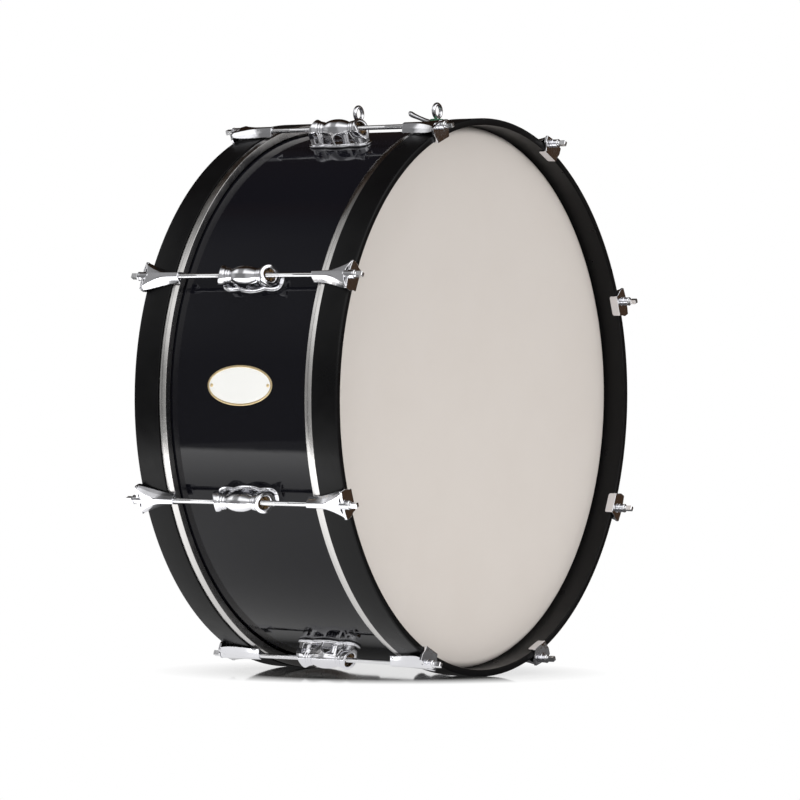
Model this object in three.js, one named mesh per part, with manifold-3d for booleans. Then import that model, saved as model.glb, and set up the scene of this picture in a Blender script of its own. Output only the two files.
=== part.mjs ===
/**
 * Marching bass drum, 28 by 10 inches, standing on its two hoops.
 *
 * Units are millimetres. +Z is up, the drum's axis runs along Y, the front
 * head faces -Y, and the origin is on the floor under the middle of the drum.
 *
 * Every turned ring has the same number of flats, and one flat faces the
 * floor, so the drum has a flat to stand on and each tension station sits on
 * the middle of a flat.
 */
import * as THREE from 'three';
import { mergeVertices } from 'three/addons/utils/BufferGeometryUtils.js';
import Module from 'manifold-3d';

const wasm = await Module();
wasm.setup();

// Driving dimensions: drum
const RING_FLATS = 64;
const SHELL_RADIUS = 355.6;
const SHELL_DEPTH = 254;
const SHELL_WALL = 7.5;
const HEAD_THICKNESS = 0.5;
const HOOP_RADIUS = 370;
const HOOP_THICKNESS = 9.4;
const HOOP_WIDTH = 38;
const FLESH_HOOP_RADIUS = 369.4;
const FLESH_HOOP_THICKNESS = 11.8;
const FLESH_HOOP_WIDTH = 10.9;
const FLESH_HOOP_INNER_Y = 107.4;
const HEAD_SKIRT_RADIUS = 360.1;
const HEAD_SKIRT_END_Y = 110.6;
const BEARING_EDGE_EASE = 2;
const HOOP_OUTER_ROUND = 2.5;
const HOOP_INNER_EASE = 1.5;
const GAP = 0.3;
const HOLE_CLEARANCE = 0.5;
const SMALL_ROUND_SIDES = 6;
const CUTTER_REACH = 5;

// Driving dimensions: tension stations
const STATIONS = 8;
const FIRST_STATION_ANGLE = 22.5;
const ROD_HEIGHT = 22;
const ROD_RADIUS = 3;
const ROD_HOLE_RADIUS = 3.65;
const ROD_TIP_Y = 9;
const ROD_WASHER_RADIUS = 6;
const ROD_NECK_RADIUS = 4.4;
const ROD_COLLAR_LENGTH = 3.6;
const ROD_KEY_SIZE = 6;
const ROD_END_Y = 179;
const LUG_HALF_LENGTH = 46.5;
const LUG_SIDES = 10;
const LUG_BASE_THICKNESS = 2.6;
const LUG_WEB_HALF_WIDTH = 8.5;
const LUG_WEB_HALF_LENGTH = 43.5;
const LUG_MOUTH_Y = 27;
const LUG_MOUTH_RADIUS = 10;
const LUG_WINDOW_SILL = 3.8;
const LUG_SCREW_Y = 37;
const LUG_SCREW_RADIUS = 2.3;
const LUG_SCREW_DEPTH = 10;
const LUG_SCREW_HEAD_RADIUS = 4.5;
const LUG_SCREW_HEAD_HEIGHT = 3;
const LUG_STRIP_HALF_WIDTH = 7;
const LUG_STRIP_HALF_LENGTH = 45;
const LUG_STRIP_THICKNESS = 1.5;
const CLAW_LENGTH = 62;
const CLAW_OVERHANG = 9;
const CLAW_TOP_ABOVE_HOOP = 13.5;
const CLAW_TAIL_HALF_WIDTH = 18.5;
const CLAW_NECK_HALF_WIDTH = 8;
const CLAW_SKIRT_HEIGHT = 4;
const CLAW_RIDGE_HALF_WIDTH = 4.5;
const CLAW_NOTCH_DEPTH = 4.5;
const CLAW_SEAT_RADIUS = 6.5;
const HOOK_HALF_WIDTH = 15;
const HOOK_CHAMFER = 6;
const HOOK_DEPTH = 14;
const HOOK_THICKNESS = 3.5;
const HOOK_LIP_RADIUS = 359.6;
const HOOK_LIP_LENGTH = 5;

// Driving dimensions: sling eyes and badge
const EYE_Y = 63;
const EYE_RING_RADIUS = 9.3;
const EYE_WIRE_RADIUS = 2.4;
const EYE_CENTRE_HEIGHT = 27.5;
const EYE_BOLT_RADIUS = 2.8;
const EYE_BOLT_PAST_WALL = 8;
const EYE_NUT_RADIUS = 5.5;
const EYE_NUT_HEIGHT = 5.5;
const EYE_PLATE_HALF_WIDTH = 12;
const EYE_PLATE_MARGIN = 17;
const EYE_PLATE_THICKNESS = 2;
const LEVER_HALF_WIDTH = 3.2;
const LEVER_COLLAR_RADIUS = 9;
const BADGE_LENGTH = 100;
const BADGE_HEIGHT = 52;
const BADGE_THICKNESS = 1.2;
const BADGE_RISE = 4;

// Sizes that follow from the driving dimensions
const FLAT_ANGLE = Math.PI / RING_FLATS;
const AXIS_HEIGHT = HOOP_RADIUS * Math.cos(FLAT_ANGLE);
const HALF_DEPTH = SHELL_DEPTH / 2;
const HOOP_INNER_Y = FLESH_HOOP_INNER_Y + FLESH_HOOP_WIDTH + GAP;
const HOOP_EDGE_Y = HOOP_INNER_Y + HOOP_WIDTH;
const HOOP_INNER_RADIUS = HOOP_RADIUS - HOOP_THICKNESS;
const CLAW_OUTER_Y = HOOP_EDGE_Y + CLAW_OVERHANG;
const CLAW_INNER_Y = CLAW_OUTER_Y - CLAW_LENGTH;
const SHELL_INNER_RADIUS = SHELL_RADIUS - SHELL_WALL;
const INSIDE_FACE = SHELL_INNER_RADIUS * Math.cos(FLAT_ANGLE) - SHELL_RADIUS - GAP;

const X = new THREE.Vector3(1, 0, 0);
const Y = new THREE.Vector3(0, 1, 0);
const Z = new THREE.Vector3(0, 0, 1);

const finish = (color, roughness, metalness) => new THREE.MeshStandardMaterial({ color, roughness, metalness });
const blackLacquer = finish(0x0b0b0d, 0.12, 0);
const blackSatin = finish(0x141415, 0.45, 0);
const headFilm = finish(0xdcd6d0, 0.5, 0);
const aluminium = finish(0xc9c7c4, 0.35, 1);
const chrome = finish(0xd8d8da, 0.08, 1);
const steel = finish(0x9c9c9c, 0.3, 1);
const enamel = finish(0xf3f1ea, 0.2, 0);

const drum = new THREE.Group();
const axis = new THREE.Group();
axis.position.z = AXIS_HEIGHT;
drum.add(axis);

/** Adds one named piece to a group. */
function add(parent, name, geometry, material) {
  const mesh = new THREE.Mesh(geometry, material);
  mesh.name = name;
  parent.add(mesh);
  return mesh;
}

/** Revolves [radius, y] points about Y; a flat, not a corner, faces +Z and -Z. */
function turned(points, sides) {
  const outline = points.map(([radius, y]) => new THREE.Vector2(radius, y));
  return new THREE.LatheGeometry(outline, sides, Math.PI / sides);
}

/** A turned ring whose section is a closed loop of [radius, y] points. */
function ring(points, sides = RING_FLATS) {
  return turned([...points, points[0]], sides);
}

/** A cylinder along Y with flats, from one y to another. */
function rodAlongY(radius, fromY, toY, sides) {
  return turned([[0, fromY], [radius, fromY], [radius, toY], [0, toY]], sides);
}

/** A cylinder along Z with flats, from one height to another. */
function rodAlongZ(radius, fromZ, toZ, sides) {
  return rodAlongY(radius, fromZ, toZ, sides).rotateX(Math.PI / 2);
}

/** An outline of [x, y] points as a three.js shape. */
function shapeOf(points) {
  return new THREE.Shape(points.map(([x, y]) => new THREE.Vector2(x, y)));
}

/** A plan outline of [x, y] points, raised along Z. */
function plate(outline, fromZ, toZ) {
  const shape = outline instanceof THREE.Shape ? outline : shapeOf(outline);
  const options = { depth: toZ - fromZ, bevelEnabled: false };
  return new THREE.ExtrudeGeometry(shape, options).translate(0, 0, fromZ);
}

/** The [x, y] corners of a rectangle about the origin. */
function rectangle(halfWidth, halfLength) {
  return [[-halfWidth, -halfLength], [halfWidth, -halfLength], [halfWidth, halfLength], [-halfWidth, halfLength]];
}

/** A side outline of [y, z] points, widened to both sides along X. */
function sidePlate(outline, halfWidth) {
  const basis = new THREE.Matrix4().makeBasis(Y, Z, X);
  return plate(outline, -halfWidth, halfWidth).applyMatrix4(basis);
}

/** An end outline of [x, z] points, lengthened along Y. */
function endPlate(outline, fromY, toY) {
  const basis = new THREE.Matrix4().makeBasis(X, Z, Y.clone().negate());
  return plate(outline, -toY, -fromY).applyMatrix4(basis);
}

/** A three.js geometry as a solid that can be joined and cut. */
function toSolid(geometry) {
  const bare = geometry.clone();
  bare.deleteAttribute('normal');
  bare.deleteAttribute('uv');
  const merged = mergeVertices(bare, 1e-4);
  const corners = merged.index.array;
  const kept = [];
  for (let i = 0; i < corners.length; i += 3) {
    const [a, b, c] = [corners[i], corners[i + 1], corners[i + 2]];
    if (a !== b && b !== c && c !== a) kept.push(a, b, c);
  }
  const vertProperties = new Float32Array(merged.attributes.position.array);
  return new wasm.Manifold(new wasm.Mesh({ numProp: 3, vertProperties, triVerts: new Uint32Array(kept) }));
}

/** A joined or cut solid as a three.js geometry. */
function toGeometry(solid) {
  const mesh = solid.getMesh();
  const geometry = new THREE.BufferGeometry();
  geometry.setAttribute('position', new THREE.BufferAttribute(mesh.vertProperties, 3));
  geometry.setIndex(new THREE.BufferAttribute(mesh.triVerts, 1));
  return geometry;
}

/** Joins the first list of geometries and cuts the second list out of them. */
function carved(joined, cuts = []) {
  const solid = joined.map(toSolid).reduce((whole, next) => whole.add(next));
  return toGeometry(cuts.map(toSolid).reduce((whole, next) => whole.subtract(next), solid));
}

/** Puts the mirror image of a half outline in front of it, for a shape symmetric about y = 0. */
function mirrored(half) {
  const other = half.filter(([, y]) => y !== 0).map(([across, y]) => [across, -y]);
  return [...other.reverse(), ...half];
}

/** A group for one end of the drum: a piece made for the rear (+Y) end serves both. */
function endGroup(parent, side) {
  const end = new THREE.Group();
  end.rotation.z = side === 'front' ? Math.PI : 0;
  parent.add(end);
  return end;
}

/** The wooden shell, with bevelled bearing edges and holes for lug screws and eye bolts. */
function makeShell(stationAngles) {
  const crown = SHELL_RADIUS - BEARING_EDGE_EASE;
  const bevel = crown - SHELL_INNER_RADIUS;
  const half = [
    [SHELL_RADIUS, HALF_DEPTH - BEARING_EDGE_EASE],
    [crown, HALF_DEPTH],
    [SHELL_INNER_RADIUS, HALF_DEPTH - bevel],
  ];
  const hole = (y, radius) => (
    rodAlongZ(radius, SHELL_INNER_RADIUS - CUTTER_REACH, SHELL_RADIUS + CUTTER_REACH, SMALL_ROUND_SIDES)
      .translate(0, y, 0)
  );
  const cuts = [EYE_Y, -EYE_Y].map((y) => hole(y, EYE_BOLT_RADIUS + HOLE_CLEARANCE));
  for (const angle of stationAngles) {
    for (const y of [LUG_SCREW_Y, -LUG_SCREW_Y]) {
      cuts.push(hole(y, LUG_SCREW_RADIUS + HOLE_CLEARANCE).rotateY(angle));
    }
  }
  return carved([ring(mirrored(half))], cuts);
}

/** A wooden counter hoop: a flat band, rounded at its outer edge. */
function makeHoop() {
  return ring([
    [HOOP_RADIUS, HOOP_INNER_Y],
    [HOOP_RADIUS, HOOP_EDGE_Y - HOOP_OUTER_ROUND],
    [HOOP_RADIUS - HOOP_OUTER_ROUND, HOOP_EDGE_Y],
    [HOOP_INNER_RADIUS + HOOP_INNER_EASE, HOOP_EDGE_Y],
    [HOOP_INNER_RADIUS, HOOP_EDGE_Y - HOOP_INNER_EASE],
    [HOOP_INNER_RADIUS, HOOP_INNER_Y],
  ]);
}

/** The metal flesh hoop: a bar bent into a ring, with a groove that grips the head's edge. */
function makeFleshHoop() {
  const outer = FLESH_HOOP_RADIUS;
  const inner = outer - FLESH_HOOP_THICKNESS;
  const low = FLESH_HOOP_INNER_Y;
  const high = low + FLESH_HOOP_WIDTH;
  const grooveOuter = HEAD_SKIRT_RADIUS + GAP;
  const grooveInner = HEAD_SKIRT_RADIUS - HEAD_THICKNESS - GAP;
  const grooveFloor = HEAD_SKIRT_END_Y - GAP;
  return ring([
    [outer, low],
    [outer, high],
    [grooveOuter, high],
    [grooveOuter, grooveFloor],
    [grooveInner, grooveFloor],
    [grooveInner, high],
    [inner, high],
    [inner, low],
  ]);
}

/** A drum head: a flat film over the bearing edge, with a collar down into its flesh hoop. */
function makeHead() {
  const under = HALF_DEPTH + GAP;
  const over = under + HEAD_THICKNESS;
  const crown = SHELL_RADIUS - BEARING_EDGE_EASE / 2;
  const turnY = HOOP_INNER_Y + 2 * HEAD_THICKNESS;
  const inside = HEAD_SKIRT_RADIUS - HEAD_THICKNESS;
  return turned([
    [0, under],
    [crown, under],
    [inside, turnY],
    [inside, HEAD_SKIRT_END_Y],
    [HEAD_SKIRT_RADIUS, HEAD_SKIRT_END_Y],
    [HEAD_SKIRT_RADIUS, turnY],
    [crown, over],
    [0, over],
  ], RING_FLATS);
}

/** One hump and one end of the lug's base flange, as [half width, y]. */
function lugBaseOutline() {
  const half = [[15.4, 0], [14.2, 11], [11.4, 20], [12.8, 31], [8.5, LUG_HALF_LENGTH]];
  const oneSide = mirrored(half);
  const otherSide = oneSide.map(([across, y]) => [-across, y]).reverse();
  return [...oneSide, ...otherSide];
}

/** Windows through the lug's side walls, as [y, height] outlines: a slot, a wedge, an arch and a wedge. */
function lugWindows() {
  const sill = LUG_WINDOW_SILL;
  return [
    [[27, sill + 2], [33, sill + 2], [33, 16], [30, 18.5], [27, 16]],
    [[5, sill], [22.4, sill], [22.4, 10.5], [19.5, 13], [6, 6.5]],
    [[-15.5, sill], [1, sill], [1, 12], [-3, 17], [-15.5, 17.5]],
    [[-27.5, sill], [-19.2, sill], [-19.5, 16.5]],
  ];
}

/** The chromed double-ended lug: boss, scooped tube ends, pierced web and base flange. */
function makeLug() {
  const tube = mirrored([[14.8, 3], [9.8, 19], [14.6, 33], [14.6, 44], [0, 44]]);
  const past = LUG_HALF_LENGTH + CUTTER_REACH;
  const bore = mirrored([
    [ROD_HOLE_RADIUS, LUG_MOUTH_Y],
    [LUG_MOUTH_RADIUS, LUG_MOUTH_Y],
    [LUG_MOUTH_RADIUS, past],
    [0, past],
  ]);
  const scoop = [[31.5, 40], [31.5, 36.5], [38.5, 25], [44, 12], [past, 12], [past, 40]];
  const foot = LUG_WEB_HALF_LENGTH;
  const ankle = foot - 2.5;
  const web = [[-foot, 0], [foot, 0], [ankle, 9], [ankle, ROD_HEIGHT], [-ankle, ROD_HEIGHT], [-ankle, 9]];
  const atRod = (geometry) => geometry.translate(0, 0, ROD_HEIGHT);
  const across = (outline) => sidePlate(outline, LUG_HALF_LENGTH);
  const cuts = [atRod(turned(bore, LUG_SIDES)), across(scoop), across(scoop).rotateZ(Math.PI)];
  const screwHole = LUG_SCREW_RADIUS + HOLE_CLEARANCE;
  for (const y of [LUG_SCREW_Y, -LUG_SCREW_Y]) {
    cuts.push(rodAlongZ(screwHole, -CUTTER_REACH, LUG_SCREW_DEPTH, SMALL_ROUND_SIDES).translate(0, y, 0));
  }
  cuts.push(...lugWindows().map(across));
  const base = plate(lugBaseOutline(), 0, LUG_BASE_THICKNESS);
  return carved([base, sidePlate(web, LUG_WEB_HALF_WIDTH), atRod(turned(tube, LUG_SIDES))], cuts);
}

/** The backing strip inside the shell, with the two screws that hold one lug. */
function makeLugFixing() {
  const back = INSIDE_FACE - LUG_STRIP_THICKNESS;
  const strip = plate(rectangle(LUG_STRIP_HALF_WIDTH, LUG_STRIP_HALF_LENGTH), back, INSIDE_FACE);
  const headTop = back + LUG_STRIP_THICKNESS / 2;
  const end = LUG_SCREW_DEPTH - 5 * GAP;
  const headEnd = headTop - LUG_SCREW_HEAD_HEIGHT;
  const screws = [LUG_SCREW_Y, -LUG_SCREW_Y].flatMap((y) => [
    rodAlongZ(LUG_SCREW_HEAD_RADIUS, headEnd, headTop, SMALL_ROUND_SIDES).translate(0, y, 0),
    rodAlongZ(LUG_SCREW_RADIUS, headTop - GAP, end, SMALL_ROUND_SIDES).translate(0, y, 0),
  ]);
  return carved([strip, ...screws]);
}

/** A tension rod with its washer and square key head, along Y. */
function makeRod() {
  const seat = CLAW_OUTER_Y + GAP;
  const collarEnd = seat + ROD_COLLAR_LENGTH;
  const tipEase = 1;
  const shank = turned([
    [0, ROD_TIP_Y],
    [ROD_RADIUS - tipEase, ROD_TIP_Y],
    [ROD_RADIUS, ROD_TIP_Y + tipEase],
    [ROD_RADIUS, seat],
    [ROD_WASHER_RADIUS, seat],
    [ROD_WASHER_RADIUS, seat + ROD_COLLAR_LENGTH / 2],
    [ROD_NECK_RADIUS, collarEnd],
    [0, collarEnd],
  ], SMALL_ROUND_SIDES);
  const key = rodAlongY(ROD_KEY_SIZE / Math.SQRT2, collarEnd - GAP, ROD_END_Y, 4);
  return carved([shank, key]);
}

/** The claw: a ridged cover over the hoop with a notched fish tail, and a hook over the hoop's edge. */
function makeClaw() {
  const under = HOOP_RADIUS;
  const top = HOOP_RADIUS + CLAW_TOP_ABOVE_HOOP;
  const eaves = under + CLAW_SKIRT_HEIGHT;
  const neck = CLAW_NECK_HALF_WIDTH;
  const tail = CLAW_TAIL_HALF_WIDTH;
  const ridge = CLAW_RIDGE_HALF_WIDTH;
  const past = CLAW_OUTER_Y + CUTTER_REACH;
  const half = [
    [neck, CLAW_INNER_Y],
    [neck + 0.6, CLAW_OUTER_Y - 0.55 * CLAW_LENGTH],
    [neck + 3.2, CLAW_OUTER_Y - 17],
    [tail, CLAW_OUTER_Y - 1.5],
    [tail - 1.5, CLAW_OUTER_Y],
    [ridge, CLAW_OUTER_Y - CLAW_NOTCH_DEPTH],
  ];
  const outline = [...half, ...half.map(([x, y]) => [-x, y]).reverse()];
  const roof = [[-tail, under], [tail, under], [tail, eaves], [ridge, top], [-ridge, top], [-tail, eaves]];
  const cover = toSolid(plate(outline, under, top)).intersect(toSolid(endPlate(roof, 0, past)));
  const hookInner = HOOP_RADIUS - HOOK_DEPTH;
  const lipHalf = HOOK_HALF_WIDTH - HOOK_CHAMFER;
  const hook = [
    [-HOOK_HALF_WIDTH, eaves - GAP],
    [-HOOK_HALF_WIDTH, hookInner + HOOK_CHAMFER],
    [-lipHalf, hookInner],
    [lipHalf, hookInner],
    [HOOK_HALF_WIDTH, hookInner + HOOK_CHAMFER],
    [HOOK_HALF_WIDTH, eaves - GAP],
  ];
  const lip = [
    [-lipHalf, hookInner],
    [lipHalf, hookInner],
    [lipHalf, HOOK_LIP_RADIUS],
    [-lipHalf, HOOK_LIP_RADIUS],
  ];
  const edge = HOOP_EDGE_Y + GAP;
  const atRod = (geometry) => geometry.translate(0, 0, SHELL_RADIUS + ROD_HEIGHT);
  return carved([
    toGeometry(cover),
    endPlate(hook, edge, edge + HOOK_THICKNESS),
    endPlate(lip, edge - HOOK_LIP_LENGTH, edge + GAP),
    atRod(rodAlongY(CLAW_SEAT_RADIUS, edge, CLAW_OUTER_Y, 12)),
  ], [atRod(rodAlongY(ROD_HOLE_RADIUS, 0, past, 8))]);
}

/** A sling eye: an upright ring on a coned foot, with its bolt down through the shell. */
function makeSlingEye() {
  const ringTurned = new THREE.TorusGeometry(EYE_RING_RADIUS, EYE_WIRE_RADIUS, 6, 16);
  const eye = ringTurned.rotateX(Math.PI / 2).translate(0, 0, EYE_CENTRE_HEIGHT);
  const foot = turned([[0, 0], [11, 0], [11, 3], [6, 9], [4.2, 17.5], [0, 17.5]], 10).rotateX(Math.PI / 2);
  const bolt = rodAlongZ(EYE_BOLT_RADIUS, -SHELL_WALL - EYE_BOLT_PAST_WALL, GAP, SMALL_ROUND_SIDES);
  return carved([eye, foot, bolt]);
}

/** The plate inside the shell under both sling eyes, with its two nuts. */
function makeEyeBackingPlate() {
  const back = INSIDE_FACE - EYE_PLATE_THICKNESS;
  const strip = plate(rectangle(EYE_PLATE_HALF_WIDTH, EYE_Y + EYE_PLATE_MARGIN), back, INSIDE_FACE);
  const nutTop = back + EYE_PLATE_THICKNESS / 2;
  const nutEnd = nutTop - EYE_NUT_HEIGHT;
  const atEyes = (radius, low, high) => (
    [EYE_Y, -EYE_Y].map((y) => rodAlongZ(radius, low, high, SMALL_ROUND_SIDES).translate(0, y, 0))
  );
  const holes = atEyes(EYE_BOLT_RADIUS + HOLE_CLEARANCE, nutEnd - CUTTER_REACH, INSIDE_FACE + CUTTER_REACH);
  return carved([strip, ...atEyes(EYE_NUT_RADIUS, nutEnd, nutTop)], holes);
}

/** The small cast thumb lever that stands beside the front eye's foot. */
function makeEyeLever() {
  const side = [[0, 8], [14, 9.5], [30, 15.5], [36, 19], [37.5, 23], [33, 25.5], [22, 20], [10, 15], [0, 13.5]];
  const collar = rodAlongZ(LEVER_COLLAR_RADIUS, 8, 13.5, 12);
  const hole = turned([[0, 0], [11.4, 0], [11.4, 3.2], [6.4, 9.2], [4.6, 20], [0, 20]], 12).rotateX(Math.PI / 2);
  return carved([sidePlate(side, LEVER_HALF_WIDTH), collar], [hole]);
}

/** The oval name plate, bent to the shell and left bare. */
function makeBadge() {
  const oval = new THREE.Shape();
  oval.absellipse(0, 0, BADGE_HEIGHT / 2, BADGE_LENGTH / 2, 0, 2 * Math.PI);
  const points = oval.getPoints(20).slice(0, -1).map(({ x, y }) => [x, y]);
  const inner = SHELL_RADIUS + GAP;
  const bent = ring([
    [inner + BADGE_THICKNESS, -BADGE_LENGTH],
    [inner + BADGE_THICKNESS, BADGE_LENGTH],
    [inner, BADGE_LENGTH],
    [inner, -BADGE_LENGTH],
  ]);
  const punch = plate(points, SHELL_INNER_RADIUS, HOOP_RADIUS).rotateY(-Math.PI / 2).translate(0, 0, BADGE_RISE);
  return toGeometry(toSolid(bent).intersect(toSolid(punch)));
}

const stationAngles = Array.from({ length: STATIONS }, (_, i) => (
  THREE.MathUtils.degToRad(90 - FIRST_STATION_ANGLE - (i * 360) / STATIONS)
));

add(axis, 'shell', makeShell(stationAngles), blackLacquer);
const hoop = makeHoop();
const fleshHoop = makeFleshHoop();
const head = makeHead();
for (const side of ['front', 'rear']) {
  const end = endGroup(axis, side);
  add(end, `${side}_hoop`, hoop, blackSatin);
  add(end, `${side}_flesh_hoop`, fleshHoop, aluminium);
  add(end, `${side}_head`, head, headFilm);
}

const lug = makeLug();
const lugFixing = makeLugFixing();
const rod = makeRod();
const claw = makeClaw();
stationAngles.forEach((angle, i) => {
  const station = new THREE.Group();
  station.rotation.y = angle;
  axis.add(station);
  add(station, `lug_${i + 1}`, lug, chrome).position.z = SHELL_RADIUS;
  add(station, `lug_fixing_${i + 1}`, lugFixing, steel).position.z = SHELL_RADIUS;
  for (const side of ['front', 'rear']) {
    const end = endGroup(station, side);
    add(end, `${side}_rod_${i + 1}`, rod, chrome).position.z = SHELL_RADIUS + ROD_HEIGHT;
    add(end, `${side}_claw_${i + 1}`, claw, chrome);
  }
});

const eye = makeSlingEye();
for (const side of ['front', 'rear']) {
  add(endGroup(axis, side), `${side}_sling_eye`, eye, chrome).position.set(0, EYE_Y, SHELL_RADIUS);
}
add(axis, 'sling_eye_backing_plate', makeEyeBackingPlate(), steel).position.z = SHELL_RADIUS;
add(axis, 'front_eye_lever', makeEyeLever(), chrome).position.set(0, -EYE_Y, SHELL_RADIUS);
add(axis, 'badge', makeBadge(), enamel);

export default drum;
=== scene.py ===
"""A marching bass drum, 28 by 10 inches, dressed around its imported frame.

The drum stands on its two hoops on the floor, z = 0. Its axis runs along Y and the front head faces -Y.
The outlines below are in millimetres, in the drum's own frame; meshes are stored in metres.
"""
import math
from functools import partial

import bmesh
import bpy
from mathutils import Matrix, Vector


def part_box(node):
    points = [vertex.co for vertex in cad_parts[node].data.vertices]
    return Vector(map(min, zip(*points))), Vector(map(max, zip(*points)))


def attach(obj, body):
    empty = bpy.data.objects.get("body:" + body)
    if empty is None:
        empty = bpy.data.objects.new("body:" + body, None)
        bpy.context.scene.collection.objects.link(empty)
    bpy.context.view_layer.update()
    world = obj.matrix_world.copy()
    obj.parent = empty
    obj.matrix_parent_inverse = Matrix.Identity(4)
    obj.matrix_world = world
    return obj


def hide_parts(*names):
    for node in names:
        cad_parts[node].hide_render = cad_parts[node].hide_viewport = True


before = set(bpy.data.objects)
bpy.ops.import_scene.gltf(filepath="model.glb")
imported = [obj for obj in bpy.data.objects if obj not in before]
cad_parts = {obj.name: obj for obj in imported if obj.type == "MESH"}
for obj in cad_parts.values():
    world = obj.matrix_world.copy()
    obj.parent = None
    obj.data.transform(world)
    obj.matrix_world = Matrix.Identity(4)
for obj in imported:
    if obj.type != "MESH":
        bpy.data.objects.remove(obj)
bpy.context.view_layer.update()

bl_info = {
    "name": "Marching Bass Drum",
    "version": (1, 0, 0),
    "blender": (4, 5, 0),
    "location": "3D View > Sidebar > Drum",
    "description": "Builds a marching bass drum with lugs, claws, tension rods and sling eyes",
    "category": "Object",
}

MM = 0.001
SIDES = {"front": -1, "rear": 1}
STATIONS = 8
FIRST_STATION_ANGLE = 22.5
DRUM_BODY = "drum"


def box_mm(node):
    """The lowest and highest corner of a frame node, in millimetres."""
    low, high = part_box(node)
    return low / MM, high / MM


def read_frame_sizes():
    """The driving sizes that the frame gives, in millimetres."""
    hoop_low, hoop_high = box_mm("rear_hoop")
    band_low, band_high = box_mm("rear_flesh_hoop")
    shell_low, shell_high = box_mm("shell")
    head_low, head_high = box_mm("rear_head")
    claw_low, claw_high = box_mm("rear_claw_1")
    rod_low, rod_high = box_mm("rear_rod_1")
    badge_low, badge_high = box_mm("badge")
    eye_low, eye_high = box_mm("rear_sling_eye")
    return {
        "axis_height": (hoop_low.z + hoop_high.z) / 2,
        "hoop_radius": (hoop_high.z - hoop_low.z) / 2,
        "hoop_inner_y": hoop_low.y,
        "hoop_edge_y": hoop_high.y,
        "band_inner_y": band_low.y,
        "band_edge_y": band_high.y,
        "band_radius": (band_high.z - band_low.z) / 2,
        "shell_radius": (shell_high.z - shell_low.z) / 2,
        "shell_edge_y": shell_high.y,
        "head_face_y": head_high.y,
        "head_skirt_y": head_low.y,
        "head_skirt_radius": (head_high.z - head_low.z) / 2,
        "claw_inner_y": claw_low.y,
        "claw_outer_y": claw_high.y,
        "rod_tip_y": rod_low.y,
        "rod_end_y": rod_high.y,
        "badge_length": badge_high.y - badge_low.y,
        "badge_height": badge_high.z - badge_low.z,
        "badge_centre_z": (badge_high.z + badge_low.z) / 2,
        "eye_y": (eye_low.y + eye_high.y) / 2,
    }


SIZE = read_frame_sizes()
STATION_BASE_RADIUS = 355.6
ROD_HEIGHT = 22.0
SHELL_WALL, SHELL_BEVEL = 7.5, 2.0


def linear(hex_code):
    """An sRGB hex colour such as "#D0C9C5" as linear red, green and blue."""
    values = (int(hex_code[i:i + 2], 16) / 255 for i in (1, 3, 5))
    return tuple(v / 12.92 if v <= 0.04045 else ((v + 0.055) / 1.055) ** 2.4 for v in values)


def length(name, description, millimetres):
    """A length property with a default in millimetres."""
    return bpy.props.FloatProperty(
        name=name, description=description, default=millimetres * MM, min=0.0, unit="LENGTH", precision=5)


def colour(name, description, hex_code):
    """A colour property with an sRGB hex default."""
    return bpy.props.FloatVectorProperty(
        name=name, description=description, default=linear(hex_code), subtype="COLOR", size=3,
        min=0.0, max=1.0)


def light_level(name, description, default):
    """A light level property."""
    return bpy.props.FloatProperty(name=name, description=description, default=default, min=0.0)


class DrumSizes(bpy.types.PropertyGroup):
    """The sizes that the frame leaves free."""

    ring_segments: bpy.props.IntProperty(
        name="Ring segments", description="Flats around the shell, hoops and heads",
        default=256, min=64, max=1024)
    hoop_thickness: length("Hoop thickness", "Thickness of the wooden hoops", 9.4)
    hoop_outer_round: length("Hoop edge radius", "Rounding of a hoop's outer edge", 2.4)
    hoop_inner_round: length("Hoop easing", "Rounding of a hoop's other edges", 1.0)
    band_thickness: length("Flesh hoop depth", "Radial depth of the metal flesh hoops", 11.8)
    band_crown: length("Flesh hoop crown", "How far the ridge of a flesh hoop stands above its edges", 1.2)
    film_thickness: length("Head thickness", "Thickness of the head film", 0.5)
    casting_voxel: length("Casting detail", "Grid on which the castings' corners are softened", 0.55)
    # A 1 mm thread is too fine to show, so its pitch and depth are drawn 1.7 times as large.
    thread_pitch: length("Thread pitch", "Pitch of the rod thread", 1.7)
    thread_depth: length("Thread depth", "Depth of the rod thread", 0.85)
    rod_diameter: length("Rod diameter", "Diameter of a tension rod over its thread", 6.6)
    key_width: length("Key square", "Width across the flats of a rod's square head", 6.2)
    claw_wall: length("Claw wall", "Thickness of the pressed claw", 1.9)
    badge_rim: length("Badge rim", "Width of the badge's gilt rim", 3.0)
    eye_wire: length("Eye wire radius", "Radius of the sling eye's wire", 2.7)


class DrumColours(bpy.types.PropertyGroup):
    """The finishes' colours; those of the castings' hollows and the swivel nuts are darkened as painted
    shade.
    """

    lacquer: colour("Shell lacquer", "Black gloss lacquer of the shell", "#111116")
    hoop: colour("Hoop paint", "Satin black of the wooden hoops", "#0B0B0C")
    film: colour("Head film", "Warm white of the coated heads", "#D4CDC7")
    aluminium: colour("Flesh hoop", "Bright drawn aluminium", "#D2D0CE")
    chrome: colour("Chrome", "Chrome plate of the castings", "#EEEEF2")
    rod: colour("Rods", "Plated steel of the tension rods", "#F0F0F2")
    steel: colour("Inner steel", "Zinc-plated strips inside the shell", "#9C9C9C")
    # Painted shade: the faces in the lugs' and claws' hollows get this dark brown in place of the shade that
    # falls there.
    casting: colour("Painted hollow shade", "Painted shade in the castings' hollows", "#2E2823")
    # Partly painted shade: the nuts' brass colour is darkened for their place deep in the lugs' mouths.
    brass: colour("Brass", "Brass of the swivel nuts, darkened as painted shade", "#57442A")
    enamel: colour("Enamel", "White enamel of the badge", "#FFFFFC")
    gilt: colour("Gilt", "Gilt rim and pins of the badge", "#E9D4A8")
    washer: colour("Washer", "Green fibre washer under the front sling eye", "#3F6B52")


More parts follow.
